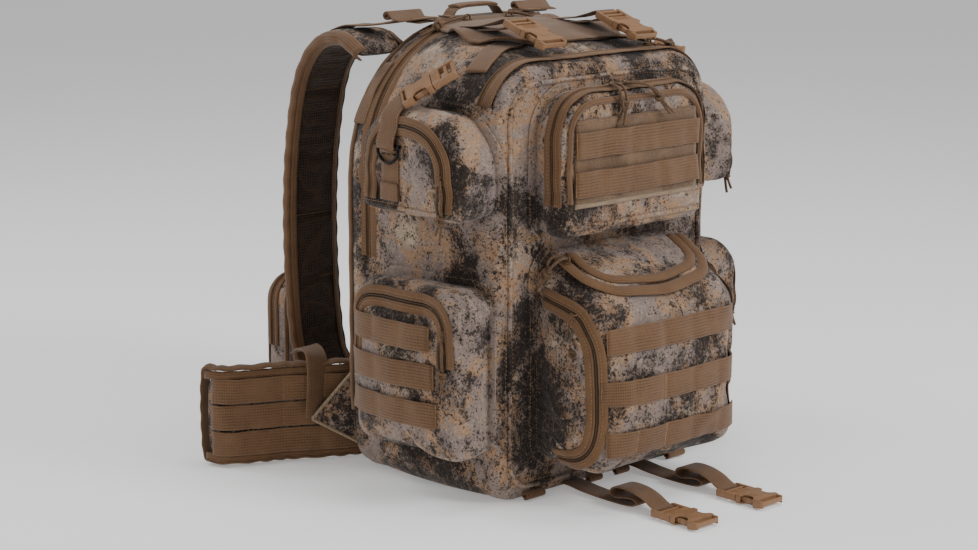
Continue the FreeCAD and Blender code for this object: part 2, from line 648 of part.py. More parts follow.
main_half = number(f"{at_depth('half', 'main_zip_y')} - {at_depth('crown', 'main_zip_y')}")
main_top = number(f"{at_depth('top', 'main_zip_y + slider_wide / 2')} + zip_proud")
front_half = number(f"{at_depth('half', 'front_zip_y')} - {at_depth('crown', 'front_zip_y')}")
front_top = number(f"{at_depth('top', 'front_zip_y + slider_wide / 2')} + zip_proud")
pocket_y = number(pocket_front) + 10
pocket_top = size("pocket_high")
pouch_y = number(pouch_front)
lid_spot = pouch_slope.multVec(Vector(-size("lid_half") - 9, -30, size("top_thick")))
slope_way = pouch_slope.Rotation.multVec(Vector(0, 1, 0))
slope_out = pouch_slope.Rotation.multVec(Vector(0, 0, 1))
print("lid hinge", pouch_slope.multVec(Vector(0, -size("lid_back"), size("top_thick"))),
      "zip way", slope_way)
print("main zip hinge", main_half, number(at_depth("top", "main_zip_y") + " - " +
                                          at_depth("crown", "main_zip_y")))
print("front zip hinge", front_half, number(at_depth("top", "front_zip_y") + " - " +
                                            at_depth("crown", "front_zip_y")))

# name: place, the zip's way, out from the zip, the cord's way, the cord's route
SLIDERS = {
    "main_left": ((-main_half, size("main_zip_y"), main_top), (-1, 0, 0), (0, 0, 1), (-1, 0, 0), CROWN),
    "main_right": ((main_half, size("main_zip_y"), main_top), (1, 0, 0), (0, 0, 1), (1, 0, 0), CROWN),
    "front": ((front_half, size("front_zip_y"), front_top), (1, 0, 0), (0, 0, 1), (1, 0, 0), CORNER),
    "pocket_left": ((-24, pocket_y, pocket_top), (1, 0, 0), (0, 0, 1), (0, -1, 0), OVER),
    "pocket_right": ((-4, pocket_y, pocket_top), (1, 0, 0), (0, 0, 1), (0, -1, 0), OVER_ASKEW),
    "lid": (lid_spot, slope_way, slope_out, (-1, 0, 0), OVER),
    "pouch_side": ((-size("pouch_half"), pouch_y + 30, size("pouch_lip") - 8),
                   (0, 1, 0), (-1, 0, 0), (0, 0, -1), HANG),
}
for side, sign in SIDES.items():
    spot = (sign * size("side_reach"), size("side_front") + 14, size("side_high") - 38)
    SLIDERS[f"side_pouch_{side}"] = (spot, (0, 0, 1), (sign, 0, 0), (0, 0, -1), HANG)
    spot = (sign * size("cap_reach"), size("cap_front") + 16, size("cap_high") - 58)
    SLIDERS[f"side_pocket_{side}"] = (spot, (0, 0, 1), (sign, 0, 0), (0, 0, -1), HANG)

for name, (spot, zip_way, out, cord_way, route) in SLIDERS.items():
    piece = slider(f"slider_{name}")
    piece.Placement = frame_at(spot, zip_way, out)
    keep(f"slider_{name}", piece)
    turn = frame_at(spot, cord_way, out)
    points = [turn.multVec(Vector(*p)) for p in route]
    keep(f"cord_{name}", solid(f"pull_{name}", tube(f"cord_{name}", points, size("cord_thick"))))

# ---- checks and files

doc.recompute()
for thing in doc.Objects:
    bad = [state for state in thing.State if state in ("Invalid", "Error")]
    assert not bad, f"{thing.Label}: {bad}"
for name, thing in nodes.items():
    shape = thing.Shape
    assert not shape.isNull() and shape.isValid() and shape.Solids, f"{name}: no valid solid"
os.makedirs("parts", exist_ok=True)
for name, thing in nodes.items():
    thing.Shape.exportStep(f"parts/{name}.step")
print(len(nodes), "sub-parts written")
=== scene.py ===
"""Hunting backpack in camouflage cloth, with coyote webbing, zips, buckles, straps and belt.

Metres. The middle of the pack's base is the origin, -Y is its front and +Y the wearer's side.
"""
import logging
import math
import random
from dataclasses import dataclass, field
from enum import Enum
from typing import Callable, Iterable, Sequence

import bmesh
import bpy
from bpy.types import Material, Mesh, Node, NodeSocket, NodeTree, Object
from mathutils import Matrix, Vector, noise
from mathutils.bvhtree import BVHTree


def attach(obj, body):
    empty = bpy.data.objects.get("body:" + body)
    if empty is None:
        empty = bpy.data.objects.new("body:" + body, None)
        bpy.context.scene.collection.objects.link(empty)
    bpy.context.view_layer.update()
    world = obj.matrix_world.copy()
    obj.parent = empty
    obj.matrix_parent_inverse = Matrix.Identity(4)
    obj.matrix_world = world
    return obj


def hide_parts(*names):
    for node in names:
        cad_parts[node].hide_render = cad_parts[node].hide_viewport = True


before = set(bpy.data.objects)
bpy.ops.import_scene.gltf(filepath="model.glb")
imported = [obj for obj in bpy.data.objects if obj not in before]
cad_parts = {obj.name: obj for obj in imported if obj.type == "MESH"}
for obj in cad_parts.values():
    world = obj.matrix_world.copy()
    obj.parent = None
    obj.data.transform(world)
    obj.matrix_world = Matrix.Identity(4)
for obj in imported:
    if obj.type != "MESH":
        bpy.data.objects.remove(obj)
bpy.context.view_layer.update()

log = logging.getLogger("backpack")
Point = Sequence[float]
Colour = tuple[float, float, float]
SIDES: dict[str, int] = {"left": -1, "right": 1}
PACK = "pack"


def srgb(red: int, green: int, blue: int) -> Colour:
    """Turn an 8-bit display colour into a linear one."""
    def linear(c: float) -> float:
        """One channel."""
        return c / 12.92 if c <= 0.04045 else ((c + 0.055) / 1.055) ** 2.4
    return tuple(linear(c / 255) for c in (red, green, blue))


# ---- shader building blocks


class Nodes:
    """A thin hand for building one node tree."""

    def __init__(self, tree: NodeTree) -> None:
        """Keep the tree that nodes are added to."""
        self.tree = tree

    def add(self, kind: str, inputs: dict | None = None, **settings: object) -> Node:
        """Add a node.

        Args:
            kind: the node's type name.
            inputs: socket name or number to a value, or to a socket that is linked in.
            settings: the node's own properties.
        Returns:
            The node.
        """
        node = self.tree.nodes.new(kind)
        for name, value in settings.items():
            setattr(node, name, value)
        for name, value in (inputs or {}).items():
            if isinstance(value, NodeSocket):
                self.tree.links.new(value, node.inputs[name])
            else:
                node.inputs[name].default_value = value
        return node

    def math(self, operation: str, a: object, b: object = 0.0) -> NodeSocket:
        """A Math node's result."""
        return self.add("ShaderNodeMath", {0: a, 1: b}, operation=operation).outputs[0]

    def noise(self, vector: object, scale: float, detail: float = 3.0, rough: float = 0.5, warp: float =
            0.0) -> NodeSocket:
        """A Noise Texture's value."""
        made = self.add("ShaderNodeTexNoise", {"Vector": vector, "Scale": scale, "Detail": detail,
            "Roughness": rough, "Distortion": warp})
        return made.outputs[0]

    def ramp(self, value: object, stops: Sequence[tuple[float, Colour]]) -> NodeSocket:
        """A Color Ramp's colour."""
        node = self.add("ShaderNodeValToRGB", {0: value})
        band = node.color_ramp
        while len(band.elements) < len(stops):
            band.elements.new(0.5)
        for element, (place, colour) in zip(band.elements, stops):
            element.position = place
            element.color = (*colour, 1)
        return node.outputs[0]

    def steep(self, value: object, low: float, high: float) -> NodeSocket:
        """Map low..high to 0..1, and hold it there."""
        node = self.add("ShaderNodeMapRange", {0: value, 1: low, 2: high})
        return node.outputs[0]

    def mix(self, share: object, a: object, b: object, blend: str = "MIX") -> NodeSocket:
        """Mix two colours."""
        def full(c: object) -> object:
            """Give a plain colour its alpha."""
            return (*c, 1) if isinstance(c, tuple) else c
        node = self.add("ShaderNodeMix", {0: share, 6: full(a), 7: full(b)}, data_type="RGBA",
            blend_type=blend)
        return node.outputs[2]


def new_group(name: str, inputs: dict[str, tuple[str, object]], outputs: dict[str, str]) -> tuple[NodeTree,
        Nodes, dict, Node]:
    """Start a shader node group.

    Args:
        name: the group's name.
        inputs: socket name to its kind (Float or Vector) and its first value.
        outputs: socket name to its kind.
    Returns:
        The tree, its builder, its input sockets by name, and its output node.
    """
    tree = bpy.data.node_groups.new(name, "ShaderNodeTree")
    for label, (kind, value) in inputs.items():
        socket = tree.interface.new_socket(label, in_out="INPUT", socket_type=f"NodeSocket{kind}")
        if value is not None:
            socket.default_value = value
    for label, kind in outputs.items():
        tree.interface.new_socket(label, in_out="OUTPUT", socket_type=f"NodeSocket{kind}")
    build = Nodes(tree)
    start = build.add("NodeGroupInput")
    end = build.add("NodeGroupOutput")
    return tree, build, {s.name: s for s in start.outputs if s.name}, end


def weave_group() -> NodeTree:
    """Crossing yarns: two fine waves at right angles, uneven as spun yarn is."""
    tree, n, sockets, end = new_group("yarn_weave", {"Vector": ("Vector", None), "Across": ("Float", 900.0),
        "Along": ("Float", 900.0)}, {"Height": "Float"})
    parts = n.add("ShaderNodeSeparateXYZ", {0: sockets["Vector"]})
    wobble = n.noise(sockets["Vector"], 260.0, 1.0)
    waves = []
    for axis, scale in ((0, "Across"), (1, "Along")):
        phase = n.math("MULTIPLY", parts.outputs[axis], sockets[scale])
        waves.append(n.math("SINE", n.math("ADD", phase, n.math("MULTIPLY", wobble, 2.5))))
    height = n.math("MULTIPLY", n.math("ADD", n.math("ADD", waves[0], waves[1]), 2.0), 0.25)
    tree.links.new(height, end.inputs["Height"])
    return tree


def dust_group() -> NodeTree:
    """Uneven fading and dust: a soft mask from large and small noise."""
    tree, n, sockets, end = new_group(
        "field_dust", {"Vector": ("Vector", None), "Scale": ("Float", 18.0)}, {"Mask": "Float"})
    wide = n.add("ShaderNodeTexNoise", {"Vector": sockets["Vector"], "Scale": sockets["Scale"], "Detail":
        4.0})
    fine = n.noise(sockets["Vector"], 240.0, 2.0)
    both = n.math("ADD", n.math("MULTIPLY", wide.outputs[0], 0.7), n.math("MULTIPLY", fine, 0.3))
    tree.links.new(n.steep(both, 0.35, 0.68), end.inputs["Mask"])
    return tree


def grain_group() -> NodeTree:
    """Moulding grain and handling marks for plastic and metal."""
    tree, n, sockets, end = new_group(
        "moulded_grain", {"Vector": ("Vector", None), "Scale": ("Float", 1400.0)},
        {"Height": "Float", "Wear": "Float"})
    pits = n.add("ShaderNodeTexNoise", {"Vector": sockets["Vector"], "Scale": sockets["Scale"], "Detail":
        2.0})
    scuffs = n.noise(sockets["Vector"], 180.0, 5.0, 0.7, 1.5)
    tree.links.new(pits.outputs[0], end.inputs["Height"])
    tree.links.new(n.steep(scuffs, 0.52, 0.72), end.inputs["Wear"])
    return tree


class Effects:
    """The node groups that several finishes share, each made once."""

    weave: NodeTree
    dust: NodeTree
    grain: NodeTree

    def __init__(self) -> None:
        """Make the groups."""
        self.weave = weave_group()
        self.dust = dust_group()
        self.grain = grain_group()


class Mapping(Enum):
    """Where a finish takes its pattern's coordinates from."""

    OBJECT = "Object"
    STRIP = "UV"


@dataclass(frozen=True)
class Finish:
    """What every finish has: a name, the record's slot, and how rough and soft it looks."""

    name: str
    slot: str
    roughness: float = 0.85
    sheen: float = 0.15
    metallic: float = 0.0
    mapping: Mapping = Mapping.OBJECT

    def start(self) -> tuple[Material, Nodes, Node, NodeSocket]:
        """Start the material.

        Returns:
            The material, its builder, its Principled node and its coordinates.
        """
        material = bpy.data.materials.new(self.name)
        material.use_nodes = True
        n = Nodes(material.node_tree)
        shader = material.node_tree.nodes["Principled BSDF"]
        shader.inputs["Roughness"].default_value = self.roughness
        shader.inputs["Metallic"].default_value = self.metallic
        shader.inputs["Sheen Weight"].default_value = self.sheen
        shader.inputs["Sheen Roughness"].default_value = 0.5
        shader.inputs["Specular IOR Level"].default_value = 0.3
        where = n.add("ShaderNodeTexCoord").outputs[self.mapping.value]
        return material, n, shader, where

    def group(self, n: Nodes, tree: NodeTree, **inputs: object) -> Node:
        """Place a shared effect in this material."""
        node = n.add("ShaderNodeGroup", node_tree=tree)
        for name, value in inputs.items():
            if isinstance(value, NodeSocket):
                n.tree.links.new(value, node.inputs[name])
            else:
                node.inputs[name].default_value = value
        return node

    def dress(self, n: Nodes, shader: Node, colour: NodeSocket, layers: Sequence[tuple[object, float,
            float]]) -> None:
        """Give the shader its colour and stack its bumps.

        Args:
            n: the material's builder.
            shader: the Principled node.
            colour: the finished colour.
            layers: each a height, its strength and its depth in metres.
        """
        n.tree.links.new(colour, shader.inputs["Base Color"])
        last = None
        for height, strength, depth in layers:
            inputs = {"Height": height, "Strength": strength, "Distance": depth}
            if last is not None:
                inputs["Normal"] = last
            last = n.add("ShaderNodeBump", inputs).outputs[0]
        n.tree.links.new(last, shader.inputs["Normal"])


@dataclass(frozen=True)
class CamoCloth(Finish):
    """Printed terrain camouflage on a matt pack cloth: blotches, patches and dense speckles."""

    pale: Colour = srgb(190, 168, 142)
    tan: Colour = srgb(156, 121, 89)
    grey: Colour = srgb(124, 110, 104)
    brown: Colour = srgb(50, 35, 26)
    dark: Colour = srgb(17, 12, 9)

    def make(self, fx: Effects) -> Material:
        """Build the material: ground colours, brown washes, then dense dark and pale grains."""
        material, n, shader, where = self.start()
        tall = n.add("ShaderNodeMapping", {0: where, 3: (1.0, 1.0, 0.85)}).outputs[0]
        ground = n.noise(where, 15.0, 6.0, 0.66, 0.5)
        colour = n.ramp(ground, [(0.36, self.grey), (0.46, srgb(136, 119, 109)), (0.52, self.tan), (0.57,
            srgb(143, 125, 113)), (0.68, self.pale)])
        broad = n.noise(tall, 15.0, 4.0, 0.6, 0.5)
        patchy = n.noise(tall, 44.0, 6.0, 0.7, 0.4)
        gloom = n.steep(n.math("ADD", n.math("MULTIPLY", broad, 0.62), n.math("MULTIPLY", patchy, 0.38)),
            0.41, 0.58)
        wash = n.steep(gloom, 0.30, 0.95)
        colour = n.mix(n.math("MULTIPLY", wash, 0.88), colour, self.brown)
        for scale, detail, edge, pull, tint in ((160.0, 4.0, 0.640, 0.165, srgb(44, 31, 24)), (430.0, 3.0,
                0.610, 0.160, self.dark)):
            grain = n.noise(where, scale, detail, 0.66)
            bar = n.math("SUBTRACT", edge, n.math("MULTIPLY", gloom, pull))
            over = n.math("MULTIPLY", n.math("SUBTRACT", grain, bar), 22.0)
            colour = n.mix(n.math("MULTIPLY", n.steep(over, 0.0, 1.0), 0.92), colour, tint)
        light = n.noise(where, 300.0, 3.0, 0.66)
        edge = n.math("ADD", 0.555, n.math("MULTIPLY", gloom, 0.085))
        over = n.steep(n.math("MULTIPLY", n.math("SUBTRACT", light, edge), 16.0), 0.0, 1.0)
        colour = n.mix(n.math("MULTIPLY", over, 0.38), colour, self.pale)
        dust = self.group(n, fx.dust, Vector=where, Scale=22.0)
        colour = n.mix(n.math("MULTIPLY", dust.outputs[0], 0.05), colour, self.grey)
        weave = self.group(n, fx.weave, Vector=where, Across=5200.0, Along=5200.0)
        crease = n.noise(where, 46.0, 4.0, 0.55, 0.6)
        fold = n.noise(where, 17.0, 3.0, 0.5, 1.4)
        self.dress(n, shader, colour, [(fold, 0.5, 0.014), (crease, 0.45, 0.005), (weave.outputs[0], 0.25,
            0.0003)])
        return material


@dataclass(frozen=True)
class WovenTape(Finish):
    """Woven nylon webbing, tape or binding: ribs across, faint rows along, dusty edges."""

    colour: Colour = srgb(116, 84, 56)
    # darker colour for the weave's troughs: painted shade between the yarns
    shade: Colour = srgb(70, 48, 31)
    rib: float = 3900.0
    row: float = 2100.0
    depth: float = 0.0004

    def make(self, fx: Effects) -> Material:
        """Build the material."""
        material, n, shader, where = self.start()
        place = n.add("ShaderNodeTexCoord").outputs["Object"]
        weave = self.group(n, fx.weave, Vector=where, Across=self.row, Along=self.rib)
        fade = self.group(n, fx.dust, Vector=place, Scale=30.0)
        # painted shade: the low parts of the weave take the darker colour
        colour = n.mix(n.steep(weave.outputs[0], 0.1, 0.75), self.shade, self.colour)
        soft = n.noise(place, 60.0, 4.0)
        colour = n.mix(n.steep(soft, 0.4, 0.75), colour, tuple(c * 0.82 for c in self.colour))
        colour = n.mix(n.math("MULTIPLY", fade.outputs[0], 0.14), colour, srgb(150, 118, 86))
        crease = n.noise(place, 55.0, 2.0)
        self.dress(n, shader, colour, [(crease, 0.2, 0.002), (weave.outputs[0], 0.7, self.depth)])
        return material


@dataclass(frozen=True)
class SpacerMesh(Finish):
    """Dark brown spacer mesh: open cells coloured near black, as painted shade in their depth."""

    colour: Colour = srgb(62, 43, 30)
    # near black: painted shade in the depth of the open cells
    gap: Colour = srgb(14, 10, 7)

    def make(self, fx: Effects) -> Material:
        """Build the material."""
        material, n, shader, where = self.start()
        cells = n.add("ShaderNodeTexVoronoi", {"Vector": where, "Scale": 330.0, "Randomness": 0.25},
            feature="DISTANCE_TO_EDGE").outputs[0]
        open_cell = n.steep(cells, 0.08, 0.22)
        fade = self.group(n, fx.dust, Vector=where, Scale=14.0)
        # painted shade: the open cells take the near-black colour
        colour = n.mix(open_cell, self.colour, self.gap)
        colour = n.mix(n.math("MULTIPLY", fade.outputs[0], 0.2), colour, srgb(110, 88, 68))
        height = n.math("SUBTRACT", 1.0, open_cell)
        self.dress(n, shader, colour, [(height, 0.8, 0.0008)])
        return material


@dataclass(frozen=True)
class LoopPile(Finish):
    """Brushed loop pile: a short fuzz, darker where its tufts sink, as painted shade between the loops."""

    colour: Colour = srgb(108, 79, 54)

    def make(self, fx: Effects) -> Material:
        """Build the material."""
        material, n, shader, where = self.start()
        tuft = n.noise(where, 620.0, 3.0, 0.7)
        lie = n.noise(where, 55.0, 3.0)
        fade = self.group(n, fx.dust, Vector=where, Scale=26.0)
        # painted shade: where the tufts' bump is low the colour falls to about half
        colour = n.mix(n.steep(tuft, 0.3, 0.7), tuple(c * 0.55 for c in self.colour), self.colour)
        colour = n.mix(n.steep(lie, 0.45, 0.8), colour, srgb(128, 96, 66))
        colour = n.mix(n.math("MULTIPLY", fade.outputs[0], 0.15), colour, srgb(160, 136, 108))
        self.dress(n, shader, colour, [(tuft, 0.9, 0.0012)])
        return material


@dataclass(frozen=True)
class Moulded(Finish):
    """Moulded plastic or coated metal, with fine grain and lighter handling marks."""

    colour: Colour = srgb(146, 109, 78)
    worn: Colour = srgb(176, 140, 106)
    wear: float = 0.35

    def make(self, fx: Effects) -> Material:
        """Build the material."""
        material, n, shader, where = self.start()
        grain = self.group(n, fx.grain, Vector=where, Scale=1600.0)
        tone = n.noise(where, 90.0, 2.0)
        colour = n.mix(n.steep(tone, 0.3, 0.8), tuple(c * 0.86 for c in self.colour), self.colour)
        colour = n.mix(n.math("MULTIPLY", grain.outputs["Wear"], self.wear), colour, self.worn)
        rough = n.math("ADD", n.math("MULTIPLY", tone, 0.18), self.roughness - 0.09)
        n.tree.links.new(rough, shader.inputs["Roughness"])
        self.dress(n, shader, colour, [(grain.outputs["Height"], 0.25, 0.0002)])
        return material


@dataclass(frozen=True)
class BraidedCord(Finish):
    """Braided cord: short slanting strands over the whole cord, with painted shade in the grooves between
    them.
    """

    colour: Colour = srgb(112, 82, 54)
    # dark colour for the grooves between strands: painted shade
    painted_groove_shade: Colour = srgb(58, 41, 28)

    def make(self, fx: Effects) -> Material:
        """Build the material."""
        material, n, shader, where = self.start()
        strands = n.add("ShaderNodeTexVoronoi", {"Vector": where, "Scale": 900.0, "Randomness":
            0.55}).outputs["Distance"]
        weave = self.group(n, fx.weave, Vector=where, Across=2600.0, Along=2600.0)
        # painted shade: the grooves, where the bump is low, take the dark colour
        colour = n.mix(n.steep(strands, 0.35, 0.75), self.colour, self.painted_groove_shade)
        both = n.math("ADD", n.math("SUBTRACT", 1.0, strands), weave.outputs[0])
        self.dress(n, shader, colour, [(both, 0.7, 0.0005)])
        return material


class Wardrobe:
    """Every finish on the pack, each made into a material once."""

    def __init__(self) -> None:
        """Make the materials."""
        fx = Effects()
        tape = Mapping.STRIP
        finishes = [CamoCloth("camo_cloth", "camo_cloth", 0.86, 0.12), WovenTape("coyote_webbing",
            "webbing", 0.8, 0.2, mapping=tape), WovenTape("coyote_binding", "webbing", 0.82, 0.2,
            mapping=tape, rib=5200.0, colour=srgb(112, 80, 52), shade=srgb(70, 48, 31), depth=0.0003),
            WovenTape("zip_tape", "zip_tape", 0.84, 0.15, mapping=tape, rib=6400.0, row=3800.0,
            # a dark finish for strips laid under gaps: painted shade, not a lining
            colour=srgb(114, 82, 53), shade=srgb(74, 51, 33), depth=0.0002), WovenTape("dark_lining",
            "webbing", 0.9, 0.1, colour=srgb(58, 43, 32), shade=srgb(34, 25, 19)), SpacerMesh("spacer_mesh",
            "spacer_mesh", 0.9, 0.1), LoopPile("loop_pile", "webbing", 0.95, 0.35),
            Moulded("buckle_plastic", "buckle_plastic", 0.46, 0.0), Moulded("slider_metal", "slider_metal",
            0.42, 0.0, 0.35, colour=srgb(104, 80, 56), worn=srgb(150, 124, 96)), Moulded("coil_teeth",
            "zip_tape", 0.5, 0.0, colour=srgb(92, 70, 50), worn=srgb(126, 100, 74), wear=0.2),
            Moulded("black_wire", "ring_steel", 0.35, 0.0, 0.6, colour=srgb(26, 25, 24), worn=srgb(90, 84,
            78)), Moulded("stiffener_sheet", "stiffener_plastic", 0.5, 0.0, colour=srgb(30, 30, 30)),
            Moulded("stay_bar", "stay_aluminium", 0.35, 0.0, 0.9, colour=srgb(190, 190, 190)),
            BraidedCord("pull_cord", "pull_cord", 0.8, 0.2), WovenTape("sewing_thread", "webbing", 0.7, 0.2,
            colour=srgb(158, 122, 84), shade=srgb(116, 86, 56)), WovenTape("edge_line", "webbing", 0.8, 0.2,
            colour=srgb(150, 130, 106), shade=srgb(118, 98, 76))]
        self.materials = {f.name: f.make(fx) for f in finishes}
        self.slots = {f.name: f.slot for f in finishes}

    def __getitem__(self, name: str) -> Material:
        """The material of a finish."""
        return self.materials[name]


# ---- shape building blocks


def evenly(points: Sequence[Vector], step: float, closed: bool = False) -> list[Vector]:
    """Space points evenly along a polyline.

    Args:
        points: the polyline.
        step: the wished spacing in metres.
        closed: whether the last point joins the first.
    Returns:
        The new points.
    """
    line = list(points) + ([points[0]] if closed else [])
    marks = [0.0]
    for a, b in zip(line, line[1:]):
        marks.append(marks[-1] + (b - a).length)
    count = max(2, round(marks[-1] / step))
    made, i = [], 0
    for k in range(count if closed else count + 1):
        want = marks[-1] * k / count
        while i < len(line) - 2 and marks[i + 1] < want:
            i += 1
        span = marks[i + 1] - marks[i] or 1.0
        made.append(line[i].lerp(line[i + 1], (want - marks[i]) / span))
    return made


def through(points: Iterable[Point], step: float = 0.004, closed: bool = False) -> list[Vector]:
    """A smooth curve through points, evenly spaced."""
    pts = [Vector(p) for p in points]
    n = len(pts)
    dense = []
    for i in range(n if closed else n - 1):
        a, b = pts[i], pts[(i + 1) % n]
        before = pts[i - 1] if closed or i else a * 2 - b
        after = pts[(i + 2) % n] if closed or i < n - 2 else b * 2 - a
        for k in range(10):
            t = k / 10
            dense.append(0.5 * (2 * a + (b - before) * t + (2 * before - 5 * a + 4 * b - after) * t * t + (3
                * a - before - 3 * b + after) * t ** 3))
    return evenly(dense if closed else dense + [pts[-1]], step, closed)


def outline(left: float, right: float, low: float, high: float, low_round: float, high_round: float, count:
        int) -> list[tuple[float, float]]:
    """A rounded rectangle as evenly spaced points, from the middle of its foot."""
    low_round = min(low_round, (right - left) / 2.02)
    high_round = min(high_round, (right - left) / 2.02)
    pts = [Vector(((left + right) / 2, low))]
    corners = ((right, low, low_round, -90), (right, high, high_round, 0), (left, high, high_round, 90),
        (left, low, low_round, 180))
    for x, z, r, turn in corners:
        cx = x - r if x == right else x + r
        cz = z + r if z == low else z - r
        for k in range(13):
            a = math.radians(turn + 90 * k / 12)
            pts.append(Vector((cx + r * math.cos(a), cz + r * math.sin(a))))
    length = sum((b - a).length for a, b in zip(pts, pts[1:] + pts[:1]))
    spaced = evenly(pts, length / count, closed=True)
    return [tuple(p) for p in spaced[:count]]


def swell(share: float, power: float = 0.6) -> float:
    """A soft hump: 0 at both ends of 0..1 and 1 in its middle."""
    return max(0.0, math.sin(math.pi * min(max(share, 0.0), 1.0))) ** power


def rumple(p: Vector, seed: float = 0.0, scale: float = 1.0) -> float:
    """Creases in cloth, about -1..1: broad dents, and narrower ridges across them."""
    q = Vector((p.x + seed, p.y - seed, p.z)) * scale
    broad = noise.noise(q * 14.0)
    turned = q + Vector((noise.noise(q * 9.0), noise.noise(q * 9.0 + Vector((5, 1, 3))), 0)) * 0.03
    ridge = 1.0 - 2.0 * abs(noise.noise(turned * 30.0))
    return 0.62 * broad + 0.38 * ridge


class Course:
    """A line laid on a surface: its points, and which way the surface faces at each."""

    def __init__(self, points: Sequence[Vector], facing: Sequence[Vector] | Point) -> None:
        """Keep the points, and one facing for each or one for all."""
        self.points = [Vector(p) for p in points]
        if isinstance(facing, (tuple, Vector)):
            facing = [Vector(facing)] * len(self.points)
        self.ways = []
        for i in range(len(self.points)):
            a = self.points[max(i - 1, 0)]
            b = self.points[min(i + 1, len(self.points) - 1)]
            self.ways.append((b - a).normalized())
        self.facing = [(Vector(f) - w * Vector(f).dot(w)).normalized() for f, w in zip(facing, self.ways)]
        self.across = [w.cross(f) for w, f in zip(self.ways, self.facing)]

    def length(self) -> float:
        """The line's length in metres."""
        return sum((b - a).length for a, b in zip(self.points, self.points[1:]))

    def shifted(self, across: float = 0.0, lift: float = 0.0) -> "Course":
        """The same line moved sideways on its surface and off it."""
        moved = [p + a * across + f * lift for p, a, f in zip(self.points, self.across, self.facing)]
        return Course(moved, self.facing)

    def part(self, start: float, end: float) -> "Course":
        """The stretch between two shares of its length."""
        last = len(self.points) - 1
        a, b = round(start * last), max(round(end * last), round(start * last) + 1)
        return Course(self.points[a:b + 1], self.facing[a:b + 1])


def edge_on(points: Sequence[Vector], sign: int = 1) -> Course:
    """A line that bends in a plane across X only, and faces square to itself in that plane."""
    axis = Vector((1, 0, 0))
    return Course(points, [w.cross(axis) * sign for w in Course(points, axis).ways])


def rolled(x: float, y: float, z: float, loops: float, inner: float, grow: float, flat: float, count:
        int) -> list[Vector]:
    """A strap's end rolled up: a spiral round a hub, in the plane across X.

    Args:
        x, y, z: the hub.
        loops: how far it is rolled, in half turns.
        inner: the first radius.
        grow: how much the radius grows.
        flat: its height as a share of its depth.
        count: how many steps it has.
    Returns:
        The line.
    """
    made = []
    for k in range(count + 1):
        turn = k / count * loops * math.pi
        r = inner + grow * k / count
        made.append(Vector((x, y + r * math.cos(turn), z + r * flat * math.sin(turn))))
    return made


